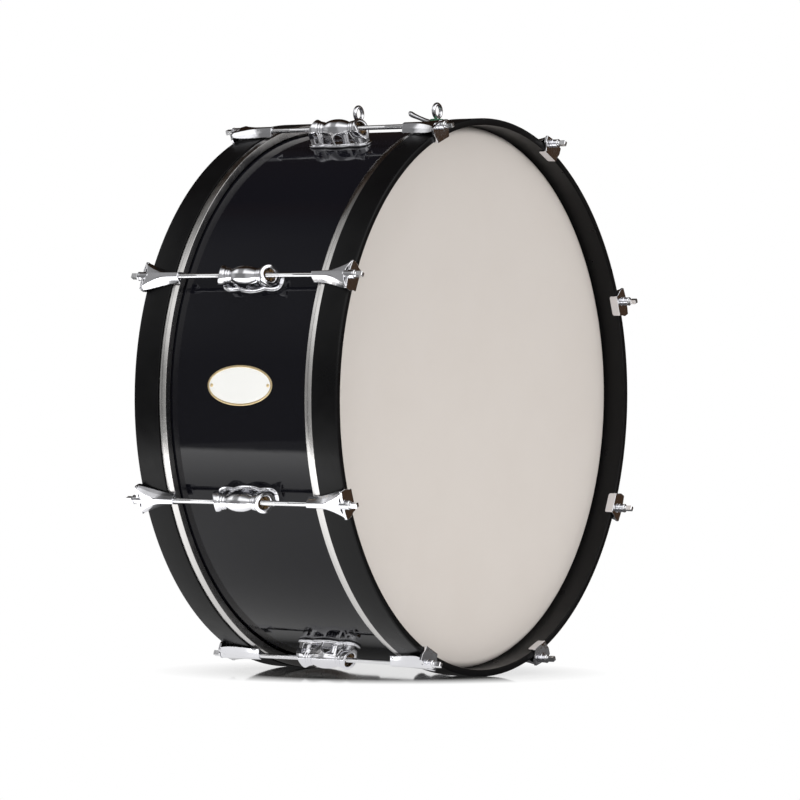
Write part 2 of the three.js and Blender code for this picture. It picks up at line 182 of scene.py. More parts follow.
class DrumStage(bpy.types.PropertyGroup):
    """The floor and the light."""

    # Painted shade: the camera sees the floor near the drum in this dark grey, which stands in for the
    # drum's contact shadow; light bounces off the floor in a near white.
    floor: colour("Floor", "Floor near the drum, darkened as painted shade", "#868684")
    sky_level: light_level("Sky level", "Strength of the even light from all round", 0.45)
    key_level: light_level("Key level", "Radiance of the lamp at the camera's left", 4.6)
    fill_level: light_level("Fill level", "Radiance of the lamp at the camera's right", 2.5)
    top_level: light_level("Top level", "Radiance of the small lamp above the drum", 12.0)


def sizes():
    """The scene's drum sizes."""
    return bpy.context.scene.drum_sizes


def colours():
    """The scene's drum colours."""
    return bpy.context.scene.drum_colours


def stage_settings():
    """The scene's stage settings."""
    return bpy.context.scene.drum_stage


def in_mm(value):
    """A length property's value in millimetres."""
    return value / MM


# Outlines

def eased(outline, steps=5):
    """A closed outline with rounded corners; each corner is (u, v) or (u, v, rounding length)."""
    points = []
    for i, corner in enumerate(outline):
        here = Vector(corner[:2])
        reach = corner[2] if len(corner) > 2 else 0.0
        if reach <= 0.0:
            points.append(here)
            continue
        before = Vector(outline[i - 1][:2]) - here
        after = Vector(outline[(i + 1) % len(outline)][:2]) - here
        start = here + before.normalized() * min(reach, before.length * 0.49)
        end = here + after.normalized() * min(reach, after.length * 0.49)
        for k in range(steps + 1):
            t = k / steps
            points.append(start * (1 - t) ** 2 + here * 2 * t * (1 - t) + end * t ** 2)
    return [(p.x, p.y) for p in points]


def curve_through(knots, steps=4):
    """Points on a smooth curve through (u, v) knots."""
    points = []
    for i in range(len(knots) - 1):
        a, b = Vector(knots[max(i - 1, 0)]), Vector(knots[i])
        c, d = Vector(knots[i + 1]), Vector(knots[min(i + 2, len(knots) - 1)])
        for k in range(steps):
            t = k / steps
            bend, twist = a * 2 - b * 5 + c * 4 - d, b * 3 - a - c * 3 + d
            p = b * 2 + (c - a) * t + bend * t ** 2 + twist * t ** 3
            points.append(tuple(p / 2))
    points.append(tuple(knots[-1]))
    return points


def value_along(knots, u):
    """The value at u of a smooth curve through (u, value) knots."""
    def slope(i):
        before, after = knots[max(i - 1, 0)], knots[min(i + 1, len(knots) - 1)]
        return (after[1] - before[1]) / (after[0] - before[0])

    i = max([k for k in range(len(knots) - 1) if knots[k][0] <= u], default=0)
    (u0, v0), (u1, v1) = knots[i], knots[i + 1]
    span = u1 - u0
    t = min(max((u - u0) / span, 0.0), 1.0)
    return (v0 * (1 + 2 * t) * (1 - t) ** 2 + v1 * t * t * (3 - 2 * t)
            + span * (slope(i) * t * (1 - t) ** 2 - slope(i + 1) * t * t * (1 - t)))


# Meshes

def new_object(name, points, faces, smooth_angle=35.0):
    """An object made of points in millimetres, with faces turned outward and smooth up to an angle."""
    mesh = bpy.data.meshes.new(name)
    mesh.from_pydata([Vector(p) * MM for p in points], [], faces)
    work = bmesh.new()
    work.from_mesh(mesh)
    bmesh.ops.remove_doubles(work, verts=work.verts, dist=1e-7)
    bmesh.ops.recalc_face_normals(work, faces=work.faces)
    work.to_mesh(mesh)
    work.free()
    mesh.shade_smooth()
    mesh.set_sharp_from_angle(angle=math.radians(smooth_angle))
    obj = bpy.data.objects.new(name, mesh)
    bpy.context.scene.collection.objects.link(obj)
    return obj


def turned(name, outline, segments, smooth_angle=35.0):
    """A closed (radius, y) outline turned about the Y axis; points on the axis become poles."""
    points, rings, faces = [], [], []
    for radius, y in outline:
        count = 1 if radius < 1e-6 else segments
        rings.append([len(points) + k for k in range(count)])
        for k in range(count):
            angle = 2 * math.pi * k / segments
            points.append((radius * math.sin(angle), y, radius * math.cos(angle)))
    for i, ring in enumerate(rings):
        other = rings[(i + 1) % len(rings)]
        for k in range(segments):
            corners = [ring[k % len(ring)], ring[(k + 1) % len(ring)]]
            corners += [other[(k + 1) % len(other)], other[k % len(other)]]
            face = list(dict.fromkeys(corners))
            if len(face) > 2:
                faces.append(face)
    return new_object(name, points, faces, smooth_angle)


def prism(name, outline, low, high, across="z"):
    """A closed outline raised along Z, or laid as (y, z) across X or (x, z) along Y, from low to high."""
    turns = {"z": lambda u, v, w: (u, v, w), "x": lambda u, v, w: (w, u, v), "y": lambda u, v, w: (u, w, v)}
    turn = turns[across]
    count = len(outline)
    points = [turn(u, v, low) for u, v in outline] + [turn(u, v, high) for u, v in outline]
    faces = [list(range(count)), list(range(count, 2 * count))]
    faces += [[k, (k + 1) % count, count + (k + 1) % count, count + k] for k in range(count)]
    return new_object(name, points, faces)


def loft(name, sections, closed_loop=False, smooth_angle=35.0):
    """Skins sections of equally many points; the ends are capped unless the loft closes on itself."""
    count = len(sections[0])
    points = [p for section in sections for p in section]
    faces = []
    last = len(sections) if closed_loop else len(sections) - 1
    for i in range(last):
        a, b = i * count, ((i + 1) % len(sections)) * count
        faces += [[a + k, a + (k + 1) % count, b + (k + 1) % count, b + k] for k in range(count)]
    if not closed_loop:
        faces += [list(range(count)), list(range(len(points) - count, len(points)))]
    return new_object(name, points, faces, smooth_angle)


def evaluated(obj):
    """Applies an object's modifiers to a fresh mesh and gives it back."""
    graph = bpy.context.evaluated_depsgraph_get()
    old = obj.data
    made = bpy.data.meshes.new_from_object(obj.evaluated_get(graph))
    obj.modifiers.clear()
    obj.data = made
    bpy.data.meshes.remove(old)
    made.name = obj.name
    return obj


def combine(obj, others, operation):
    """Joins others to obj or cuts them out of it, and deletes them."""
    for other in others:
        step = obj.modifiers.new("combine", "BOOLEAN")
        step.operation = operation
        step.solver = "EXACT"
        step.object = other
        evaluated(obj)
        bpy.data.meshes.remove(other.data)
    return obj


def gather(obj, others):
    """Puts others into obj's mesh as they are and deletes them; cast() then makes one skin of all."""
    work = bmesh.new()
    for piece in (obj, *others):
        work.from_mesh(piece.data)
    work.to_mesh(obj.data)
    work.free()
    for other in others:
        bpy.data.meshes.remove(other.data)
    return obj


def cast(obj, voxel, relax, keep):
    """Softens a casting's corners on a fine grid, then thins the mesh to a share of its faces."""
    grid = obj.modifiers.new("grid", "REMESH")
    grid.mode = "VOXEL"
    grid.voxel_size = voxel
    even = obj.modifiers.new("even", "SMOOTH")
    even.factor = 0.5
    even.iterations = relax
    thin = obj.modifiers.new("thin", "DECIMATE")
    thin.ratio = keep
    evaluated(obj)
    obj.data.shade_smooth()
    return obj


def paint_hollow_shade(obj, inside):
    """Gives the faces that lie inside a casting its second material, a dark painted shade; centres are in
    millimetres.
    """
    for face in obj.data.polygons:
        face.material_index = 1 if inside(face.center / MM, face.normal) else 0
    return obj


def moved(obj, x=0.0, y=0.0, z=0.0):
    """Moves an object's mesh by a distance in millimetres."""
    obj.data.transform(Matrix.Translation((x * MM, y * MM, z * MM)))
    return obj


def stood_up(obj):
    """Turns a piece made about the Y axis upright, so that its y becomes z."""
    obj.data.transform(Matrix.Rotation(math.pi / 2, 4, "X"))
    return obj


# Places

AXIS = Matrix.Translation((0, 0, SIZE["axis_height"] * MM))


def station_angle(number):
    """A tension station's angle about the drum's axis, from +X towards +Z, in radians."""
    return math.radians(FIRST_STATION_ANGLE + (number - 1) * 360 / STATIONS)


def at_station(n, side="rear", height=0.0):
    """The place of a tension station: local Z points out of the drum and local Y to that end of it."""
    turn = Matrix.Rotation(math.pi / 2 - station_angle(n), 4, "Y")
    face = Matrix.Rotation(math.pi if side == "front" else 0.0, 4, "Z")
    return AXIS @ turn @ face @ Matrix.Translation((0, 0, height * MM))


def at_end(side):
    """The place of a piece that is made for the rear end of the drum, about its axis."""
    return AXIS @ Matrix.Rotation(math.pi if side == "front" else 0.0, 4, "Z")


def fit(obj, body, node=""):
    """Makes a piece ride on a body and, where a frame node is named, stand for it."""
    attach(obj, body)
    if node:
        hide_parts(node)


def paint(obj, *materials):
    """Gives a piece its materials, in slot order."""
    obj.data.materials.clear()
    for material in materials:
        obj.data.materials.append(material)


BOTH_SIDES = [{"side": side} for side in SIDES]
ALL_STATIONS = [{"n": n} for n in range(1, STATIONS + 1)]
ALL_ENDS = [{"side": side, "n": n} for side in SIDES for n in range(1, STATIONS + 1)]


def spread(source, spots, place, name, materials, body, node=""):
    """Puts a dressed copy of a piece at each spot, and deletes the source.

    A spot's side and number fill in the name, the body and the frame node that the copy stands for.
    """
    for spot in spots:
        piece = bpy.data.objects.new(name.format(**spot), source.data.copy())
        piece.data.name = piece.name
        piece.matrix_world = place(**spot)
        bpy.context.scene.collection.objects.link(piece)
        paint(piece, *materials)
        fit(piece, body.format(**spot), node.format(**spot))
    bpy.data.objects.remove(source)


# Materials

def add_node(tree, kind, settings=None, inputs=None):
    """Adds a shader node; an input is a value, or another node's output socket to link."""
    node = tree.nodes.new(kind)
    for name, value in (settings or {}).items():
        setattr(node, name, value)
    for name, value in (inputs or {}).items():
        if isinstance(value, bpy.types.NodeSocket):
            tree.links.new(value, node.inputs[name])
        else:
            node.inputs[name].default_value = value
    return node


def finish_of(name, base, **values):
    """A material of a name with one Principled surface of a base colour, and its node tree and surface."""
    material = bpy.data.materials.new(name)
    material.use_nodes = True
    tree = material.node_tree
    tree.nodes.clear()
    surface = add_node(tree, "ShaderNodeBsdfPrincipled")
    surface.inputs["Base Color"].default_value = (*base, 1)
    for key, value in values.items():
        surface.inputs[key.replace("_", " ")].default_value = value
    output = add_node(tree, "ShaderNodeOutputMaterial")
    tree.links.new(surface.outputs["BSDF"], output.inputs["Surface"])
    return material, tree, surface


def noise(tree, millimetres, detail=2.0, stretch=(1, 1, 1)):
    """A noise pattern whose features are a size in millimetres, stretched along the drum's axes."""
    place = add_node(tree, "ShaderNodeTexCoord").outputs["Object"]
    scaled = add_node(tree, "ShaderNodeVectorMath", {"operation": "MULTIPLY"}, {0: place, 1: stretch})
    pattern = add_node(tree, "ShaderNodeTexNoise", {}, {
        "Vector": scaled.outputs["Vector"], "Scale": 1 / (millimetres * MM), "Detail": detail})
    return pattern.outputs["Fac"]


def ramp(tree, value, low, high, from_low=0.3, from_high=0.7):
    """Maps a value to the range low to high; its own range starts as the common part of a noise."""
    node = add_node(tree, "ShaderNodeMapRange", {}, {
        "Value": value, "From Min": from_low, "From Max": from_high, "To Min": low, "To Max": high})
    return node.outputs["Result"]


def math_node(tree, operation, *values):
    """The result of a math operation on values or sockets, taken one after the other."""
    result = values[0]
    for value in values[1:]:
        node = add_node(tree, "ShaderNodeMath", {"operation": operation}, {0: result, 1: value})
        result = node.outputs["Value"]
    return result


def roughen(tree, surface, roughness):
    """Lets a pattern drive the surface's roughness."""
    tree.links.new(roughness, surface.inputs["Roughness"])


def emboss(tree, surface, pattern, millimetres):
    """Lets a pattern raise the surface by a real height in millimetres."""
    node = add_node(tree, "ShaderNodeBump", {}, {
        "Height": pattern, "Distance": millimetres * MM, "Strength": 1.0})
    tree.links.new(node.outputs["Normal"], surface.inputs["Normal"])


def shade(tree, surface, base, share, tone):
    """Multiplies a share of a tone into the surface's base colour."""
    node = add_node(tree, "ShaderNodeMix", {"data_type": "RGBA", "blend_type": "MULTIPLY"}, {
        "Factor": share, "A": (*base, 1), "B": (*tone, 1)})
    tree.links.new(node.outputs["Result"], surface.inputs["Base Color"])


def lacquer_material():
    """Black nitro lacquer, sprayed on birch ply and polished: deep, wet gloss with faint orange peel."""
    material, tree, surface = finish_of("black_gloss_lacquer", colours().lacquer, IOR=1.32)
    roughen(tree, surface, ramp(tree, noise(tree, 60.0, detail=4.0), 0.03, 0.09))
    emboss(tree, surface, noise(tree, 14.0), 0.03)
    return material


def hoop_material():
    """Satin black paint on laminated maple: soft sheen, with faint grain that runs round the hoop."""
    material, tree, surface = finish_of("satin_black_maple", colours().hoop, IOR=1.27)
    roughen(tree, surface, ramp(tree, noise(tree, 35.0, detail=3.0), 0.26, 0.40))
    emboss(tree, surface, noise(tree, 5.0, detail=3.0, stretch=(0.15, 2.0, 0.15)), 0.05)
    return material


def film_material():
    """Polyester film with a sprayed white coating: matte and slightly warm, with a fine sprayed grain."""
    material, tree, surface = finish_of("coated_polyester_film", colours().film, Roughness=0.55, IOR=1.5)
    cloud = ramp(tree, noise(tree, 90.0, detail=3.0), 0.0, 0.25, 0.35, 0.75)
    shade(tree, surface, colours().film, cloud, (0.93, 0.915, 0.90))
    # The sprayed grain is about 0.3 mm on a real head; it is drawn at 1.6 mm so that it shows.
    emboss(tree, surface, noise(tree, 1.6), 0.05)
    return material


def aluminium_material():
    """Drawn aluminium, rolled into a ring: bright, with fine lines that run round the hoop."""
    material, tree, surface = finish_of("drawn_aluminium", colours().aluminium, Metallic=1.0)
    # Draw lines are finer than 0.1 mm; they are drawn at 0.8 mm so that they show.
    lines = noise(tree, 0.8, stretch=(0.03, 1.0, 0.03))
    patches = ramp(tree, noise(tree, 25.0), 0.20, 0.34)
    roughen(tree, surface, math_node(tree, "MULTIPLY", ramp(tree, lines, 0.85, 1.15), patches))
    emboss(tree, surface, lines, 0.02)
    return material


def chrome_material():
    """Bright chrome on zinc castings: mirror gloss that rolls a little where the casting was polished."""
    material, tree, surface = finish_of("bright_chrome_plate", colours().chrome, Metallic=1.0)
    roughen(tree, surface, ramp(tree, noise(tree, 18.0, detail=4.0), 0.05, 0.14))
    emboss(tree, surface, noise(tree, 6.0, detail=1.0), 0.12)
    return material


def hollow_shade_material():
    """Painted shade for the hollows of the zinc castings: dull, dark and grainy brown in place of the shade
    inside them.
    """
    material, tree, surface = finish_of("painted_hollow_shade", colours().casting, Metallic=0.6)
    grain = noise(tree, 1.5, detail=3.0)
    roughen(tree, surface, ramp(tree, grain, 0.5, 0.7))
    emboss(tree, surface, grain, 0.1)
    return material


def rod_material():
    """Nickel-chrome plate on rolled steel rod: bright, a little softer than the castings."""
    material, tree, surface = finish_of("plated_steel_rod", colours().rod, Metallic=1.0)
    roughen(tree, surface, ramp(tree, noise(tree, 8.0, detail=3.0), 0.14, 0.26))
    return material


def steel_material():
    """Zinc-plated mild steel strip: dull grey with a faint blotchy passivation."""
    material, tree, surface = finish_of("zinc_plated_steel", colours().steel, Metallic=1.0)
    roughen(tree, surface, ramp(tree, noise(tree, 7.0, detail=4.0), 0.28, 0.5))
    return material


def brass_material():
    """Machined brass, darkened as painted shade for its place deep in a lug's mouth: warm brown-yellow metal
    with darker handling marks.
    """
    material, tree, surface = finish_of("turned_brass", colours().brass, Metallic=1.0)
    tarnish = noise(tree, 5.0, detail=4.0)
    shade(tree, surface, colours().brass, ramp(tree, tarnish, 0.0, 0.5, 0.4, 0.7), (0.72, 0.62, 0.5))
    roughen(tree, surface, ramp(tree, tarnish, 0.18, 0.34))
    return material


def enamel_material():
    """Vitreous white enamel fired on brass: glassy, thick and a touch uneven."""
    material, tree, surface = finish_of("white_vitreous_enamel", colours().enamel, IOR=1.52)
    pool = noise(tree, 12.0)
    roughen(tree, surface, ramp(tree, pool, 0.08, 0.16))
    emboss(tree, surface, pool, 0.03)
    return material


def gilt_material():
    """Gilded brass with a fine satin: pale warm gold, a little darker where it was handled."""
    material, tree, surface = finish_of("satin_gilt_brass", colours().gilt, Metallic=1.0)
    wear = noise(tree, 4.0, detail=3.0)
    shade(tree, surface, colours().gilt, ramp(tree, wear, 0.0, 0.5, 0.4, 0.75), (0.85, 0.74, 0.55))
    roughen(tree, surface, ramp(tree, wear, 0.35, 0.5))
    return material


def washer_material():
    """Pressed green fibre washer: matte, with short fibres."""
    material, tree, surface = finish_of("green_pressed_fibre", colours().washer, Roughness=0.7, IOR=1.5)
    emboss(tree, surface, noise(tree, 0.9, detail=3.0), 0.08)
    return material


# Pieces

def make_shell():
    """The ply shell with its bevelled bearing edges."""
    radius, edge = SIZE["shell_radius"], SIZE["shell_edge_y"]
    inner, crown = radius - SHELL_WALL, radius - SHELL_BEVEL
    half = [(radius, edge - SHELL_BEVEL, 1.0), (crown, edge, 1.2), (inner, edge - (crown - inner), 1.0)]
    outline = [(r, -y, e) for r, y, e in reversed(half)] + half
    return turned("gloss_shell", eased(outline), sizes().ring_segments)


def make_hoop():
    """A wooden hoop with a rounded outer edge and eased corners."""
    radius = SIZE["hoop_radius"]
    inner = radius - in_mm(sizes().hoop_thickness)
    near, edge = SIZE["hoop_inner_y"], SIZE["hoop_edge_y"]
    outer_round, ease = in_mm(sizes().hoop_outer_round), in_mm(sizes().hoop_inner_round)
    outline = [
        (radius, near, ease), (radius, edge, outer_round), (inner, edge, ease * 1.5), (inner, near, ease)]
    return turned("satin_hoop", eased(outline), sizes().ring_segments)


# The room that a head's collar has in the groove of its flesh hoop.
HEAD_PLAY = 0.3


def make_band():
    """A metal flesh hoop: two shallow facets that meet at a crown, around the head's edge."""
    radius = SIZE["band_radius"]
    low, high = SIZE["band_inner_y"], SIZE["band_edge_y"]
    inner = radius - in_mm(sizes().band_thickness)
    crown = in_mm(sizes().band_crown)
    middle = (low + high) / 2
    groove_outer = SIZE["head_skirt_radius"] + HEAD_PLAY
    groove_inner = groove_outer - in_mm(sizes().film_thickness) - 2 * HEAD_PLAY
    groove_floor = SIZE["head_skirt_y"] - HEAD_PLAY
    outline = [
        (radius - crown, low, 0.9), (radius, middle, 1.0), (radius - crown, high, 0.9),
        (groove_outer, high), (groove_outer, groove_floor),
        (groove_inner, groove_floor), (groove_inner, high), (inner, high, 0.8), (inner, low, 0.8)]
    return turned("flesh_band", eased(outline), sizes().ring_segments)


HEAD_RING_SHARES = (0.35, 0.7, 0.93)
# From the collar in to the flat film, and from the flat film back to the collar.
HEAD_TURN_IN, HEAD_TURN_BACK = 5.5, 8.2


def make_head():
    """A head: a flat film that turns over the bearing edge into a collar."""
    face, thick = SIZE["head_face_y"], in_mm(sizes().film_thickness)
    skirt, end = SIZE["head_skirt_radius"], SIZE["head_skirt_y"]
    crown, shoulder = skirt - HEAD_TURN_IN, face - HEAD_TURN_BACK
    outline = [
        (0, face), (crown, face, 5.0), (skirt, shoulder, 3.0), (skirt, end),
        (skirt - thick, end), (skirt - thick, shoulder, 3.0), (crown - 0.3, face - thick, 5.0),
        (0, face - thick)]
    rings = eased(outline)
    # Extra rings on the flat keep its long fan of triangles even.
    flat = [(crown * share, face) for share in HEAD_RING_SHARES]
    under = [(crown * share, face - thick) for share in reversed(HEAD_RING_SHARES)]
    outline = [rings[0], *flat, *rings[1:-1], *under, rings[-1]]
    return turned("head_film", outline, sizes().ring_segments)


LUG_LENGTH_HALF = 46.5
LUG_WAIST_Y, LUG_WAIST_HALF = 20.0, 11.3
LUG_LOBE_Y, LUG_LOBE_HALF, LUG_LOBE_SWELL = 31.0, 12.8, 1.5
LUG_BOSS_SWELL = 4.1
LUG_END_ROUNDNESS = 2.6
LUG_POST_Y, LUG_POST_REACH = 9.6, 5.2


def lug_half_width(y, inset=0.0):
    """Half the width of the lug's base at y: a round centre lobe between two longer end lobes."""
    y = abs(y)
    if y < LUG_WAIST_Y:
        width = LUG_WAIST_HALF + LUG_BOSS_SWELL * math.cos(math.pi / 2 * y / LUG_WAIST_Y) ** 0.8
    elif y < LUG_LOBE_Y:
        turn = math.pi / 2 * (y - LUG_WAIST_Y) / (LUG_LOBE_Y - LUG_WAIST_Y)
        width = LUG_WAIST_HALF + LUG_LOBE_SWELL * math.sin(turn)
    else:
        reach = LUG_LENGTH_HALF - inset - LUG_LOBE_Y
        share = min((y - LUG_LOBE_Y) / reach, 1.0)
        fall = (1 - share ** LUG_END_ROUNDNESS) ** (1 / LUG_END_ROUNDNESS)
        return max((LUG_LOBE_HALF - inset) * fall, 0.0)
    return width - inset


def lug_plan(inset, reach, steps=96):
    """The lug's plan outline, inset from the base's and cut off at a distance from its middle."""
    ys = [reach * math.sin(math.pi / 2 * (2 * k / steps - 1)) for k in range(steps + 1)]
    side = [(lug_half_width(y, inset), y) for y in ys]
    other = [(-x, y) for x, y in reversed(side)]
    outline = side + other
    return [p for i, p in enumerate(outline) if math.dist(p, outline[i - 1]) > 0.05]


def lug_tube():
    """The turned upper body of the lug as (radius, y): a round boss between ribbed collars and mouths."""
    boss = [(12.7, 0), (12.5, 4.5), (11.8, 9), (10.5, 13.5), (8.5, 18.6)]
    ribs = [
        (8.2, 20.0), (9.7, 21.4), (9.7, 22.2), (8.7, 23.3), (10.3, 24.7), (10.3, 25.6), (9.5, 26.9)]
    mouth = [(11.6, 29.0), (13.1, 32.5), (13.5, 37.0), (13.5, 47.5)]
    half = curve_through(boss + ribs + mouth)
    return [(r, -y) for r, y in reversed(half[1:])] + half


LUG_FLOOR = 2.6
LUG_WALL_INSET, LUG_WALL_END, LUG_WALL_HEIGHTS = 2.6, 3.0, (0.5, 21.0)
# The hollows under the lug's middle and its ends as (reach from the middle, top).
LUG_HOLLOW_INSET, LUG_HOLLOWS = 4.6, ((25.5, 17.5), (39.0, 12.5))
# Windows and the scoop of a mouth are (y, z) outlines that are cut right across the lug.
LUG_WINDOWS = (
    ((27.6, 5.2, 1.6), (33.0, 5.2, 1.6), (33.6, 16.0, 2.5), (31.0, 20.5, 2.5), (28.0, 16.5, 2.5)),
    ((4.0, 4.2, 1.2), (22.0, 4.2, 1.5), (22.0, 12.4, 1.5), (19.0, 14.2, 2), (4.6, 6.6, 1.2)),
    ((-16.6, 3.9, 1.2), (0.6, 3.9, 1.2), (1.2, 11.5, 4), (-3.0, 17.8, 5), (-16.6, 18.4, 2.0)),
    ((-27.8, 4.4, 1), (-20.0, 4.4, 1), (-20.0, 17.6, 1.2), (-21.6, 16.6, 1.2), (-28.0, 6.4, 1)),
    ((-22.0, 20.6, 0.8), (-23.4, 21.6, 0.8), (-29.8, 13.8, 1), (-28.4, 11.6, 1)),
    ((-35.0, 4.6, 1.2), (-31.0, 4.6, 1.2), (-31.0, 8.6, 1.2), (-35.0, 7.6, 1.2)),
)
LUG_SCOOP = (
    (30.5, 44), (31.8, 35.6, 2), (37.0, 26.5, 4), (41.6, 12.5, 3), (45.2, 4.0, 1.2), (60, 4.0), (60, 44))
LUG_SWIVEL_HOLLOW = ((0, -18), (7.6, -15), (9.6, -8), (10.4, 0), (9.6, 8), (7.6, 15), (0, 18))
LUG_MOUTH = ((0, 26.4), (8.9, 26.4), (8.9, 34), (9.4, 50), (0, 50))
LUG_BORE = ((0, -48), (3.6, -48), (3.6, 48), (0, 48))
LUG_POST = ((0, -0.2), (4.6, -0.2), (4.0, 15.0), (0, 15.0))
CUTTER_REACH = 30.0


def inside_lug(centre, normal):
    """Whether a face of the lug looks into its hollow, or lies in it behind the windows, where it gets
    painted shade.
    """
    out = Vector((centre.x, 0, max(centre.z - ROD_HEIGHT, 0.0)))
    if centre.z > LUG_FLOOR + 0.5 and out.dot(normal) < -0.15 * out.length:
        return True
    on_post = math.hypot(centre.x, centre.y + LUG_POST_Y) < LUG_POST_REACH
    behind_wall = abs(centre.x) < lug_half_width(centre.y, 3.9) and abs(centre.y) < 38.0
    return behind_wall and not on_post and LUG_FLOOR - 0.3 < centre.z < 17.0


def about_rod(outline, segments):
    """A lug's piece turned about its rod."""
    return moved(turned("part", outline, segments), z=ROD_HEIGHT)


def make_lug():
    """The cast double-ended lug: scalloped base, pierced hollow walls, round boss and scooped mouths."""
    # This is sensitive to the last digit of a number: with the rod axis only 0.000002 mm higher a fragment
    # of the lug came out. The cause isn't known, so look at the lug after every edit.
    reach = LUG_LENGTH_HALF
    lug = prism("lug", lug_plan(0.0, reach), -0.5, LUG_FLOOR)
    wall = prism("wall", lug_plan(LUG_WALL_INSET, reach - LUG_WALL_END), *LUG_WALL_HEIGHTS)
    ends = lug_tube()
    tube = about_rod([(0, ends[0][1]), *ends, (0, ends[-1][1])], 56)
    combine(lug, [wall, tube], "UNION")
    cuts = [prism("hollow", lug_plan(LUG_HOLLOW_INSET, far), LUG_FLOOR, top) for far, top in LUG_HOLLOWS]
    cuts.append(about_rod(LUG_SWIVEL_HOLLOW, 40))
    for sign in (-1, 1):
        cuts.append(about_rod([(r, sign * y) for r, y in LUG_MOUTH], 40))
        scoop = eased([(sign * p[0], *p[1:]) for p in LUG_SCOOP], 6)
        cuts.append(prism("scoop", scoop, -CUTTER_REACH, CUTTER_REACH, "x"))
    cuts += [prism("window", eased(window), -CUTTER_REACH, CUTTER_REACH, "x") for window in LUG_WINDOWS]
    combine(lug, cuts, "DIFFERENCE")
    combine(lug, [moved(stood_up(turned("post", LUG_POST, 24)), y=-LUG_POST_Y)], "UNION")
    combine(lug, [about_rod(LUG_BORE, 24)], "DIFFERENCE")
    # The faces in the lug's hollows get the dark painted shade.
    return paint_hollow_shade(cast(lug, sizes().casting_voxel, 3, 0.42), inside_lug)


def make_swivel_nut():
    """A brass swivel nut in one mouth of a lug, bored for its rod."""
    low, high, bore, rim = 27.0, 33.2, 3.45, 8.6
    outline = [
        (bore, low, 0.3), (rim, low, 0.8), (rim, high - 1.5, 1.0), (6.0, high, 0.8), (bore, high, 0.3)]
    return about_rod(eased(outline, 3), 40)


ROD_THREAD_END_Y = 76.5
ROD_AROUND = 20
ROD_ROWS_PER_TURN = 5
ROD_TIP_FADE, ROD_SHANK_FADE = 2.0, 3.0
# The washer and the neck as (distance past the claw's seat, radius).
ROD_COLLAR = ((0, 6.0), (1.3, 6.0), (1.6, 5.6), (1.7, 4.2), (3.2, 4.2), (3.9, 3.4))
# The start of the square head as (distance past the seat, inset of its flats), and its outer chamfer.
ROD_KEY_START, ROD_KEY_CHAMFER = ((4.1, 0.3), (4.4, 0.0)), 0.9
ROD_SEAT_GAP, ROD_SHANK_INSET = 0.3, 0.1


def make_rod():
    """A tension rod: rolled thread, plain shank, washer, neck and square key head, about Y."""
    radius = in_mm(sizes().rod_diameter) / 2
    pitch, depth = in_mm(sizes().thread_pitch), in_mm(sizes().thread_depth)
    tip, end = SIZE["rod_tip_y"], SIZE["rod_end_y"]
    seat = SIZE["claw_outer_y"] + ROD_SEAT_GAP
    shank = radius - ROD_SHANK_INSET
    angles = [2 * math.pi * k / ROD_AROUND for k in range(ROD_AROUND)]

    def ring(y, reach):
        return [(reach * math.sin(angle), y, reach * math.cos(angle)) for angle in angles]

    def key_ring(y, half):
        corners = []
        for angle in angles:
            u, v = math.sin(angle + math.pi / 4), math.cos(angle + math.pi / 4)
            x, z = half * Vector((u, v)) / max(abs(u), abs(v))
            corners.append((x, y, z))
        return corners

    sections = [ring(tip, 0.0)]
    rows = int((ROD_THREAD_END_Y - tip) / pitch * ROD_ROWS_PER_TURN)
    for row in range(rows + 1):
        y = tip + (ROD_THREAD_END_Y - tip) * row / rows
        fade = min((y - tip) / ROD_TIP_FADE, (ROD_THREAD_END_Y - y) / ROD_SHANK_FADE, 1.0)
        thread = []
        for k, angle in enumerate(angles):
            phase = (y / pitch - k / ROD_AROUND) % 1.0
            r = radius - depth * abs(2 * phase - 1) * fade - (1 - fade) * ROD_SHANK_INSET
            thread.append((r * math.sin(angle), y, r * math.cos(angle)))
        sections.append(thread)
    sections.append(ring(seat, shank))
    sections += [ring(seat + rise, reach) for rise, reach in ROD_COLLAR]
    half = in_mm(sizes().key_width) / 2
    key = [(seat + rise, inset) for rise, inset in ROD_KEY_START]
    key += [(end - ROD_KEY_CHAMFER, 0.0), (end, ROD_KEY_CHAMFER)]
    sections += [key_ring(y, half - inset) for y, inset in key]
    sections.append(ring(end, 0.0))
    return loft("rod", sections, smooth_angle=38.0)


# The claw's lines as (y, value); x is from the middle of the claw and z is above the hoop's surface.
CLAW_CREST_HALF, CLAW_CREST_TOP = 2.8, 13.25
CLAW_CREASE_X = (
    (103.6, 3.0), (120, 3.3), (130, 4.0), (139, 6.6), (148, 10.4), (156, 14.8), (160.6, 19.0))
CLAW_CREASE_Z = (
    (103.6, 12.9), (120, 12.8), (130, 12.6), (139, 12.4), (148, 12.0), (156, 11.5), (160.6, 11.1))
CLAW_EDGE_X = (
    (103.6, 8.2), (118, 8.6), (130, 11.2), (138, 13.4), (144, 15.2), (150, 17.2), (156, 19.1), (160.6, 19.4))
CLAW_EDGE_Z = (
    (103.6, 1.6), (118, 1.6), (130, 1.8), (138, 2.2), (144, 2.8), (150, 3.8), (156, 5.6), (160.6, 7.0))
CLAW_TAIL_MIDDLE, CLAW_TAIL_DEPTH, CLAW_TAIL_HALF = 153.4, 6.4, 19.0
CLAW_PLATE = (
    (19.4, 10.4, 1.0), (19.4, 0.8, 1.6), (15.4, -6.4, 1.6), (14.8, -12.0, 1.6), (-14.8, -12.0, 1.6),
    (-15.4, -6.4, 1.6), (-19.4, 0.8, 1.6), (-19.4, 10.4, 1.0), (-8.0, 12.0, 3.0), (0.0, 12.3, 4.0),
    (8.0, 12.0, 3.0))
CLAW_PLATE_Y, CLAW_PLATE_THICK = 156.9, 3.4
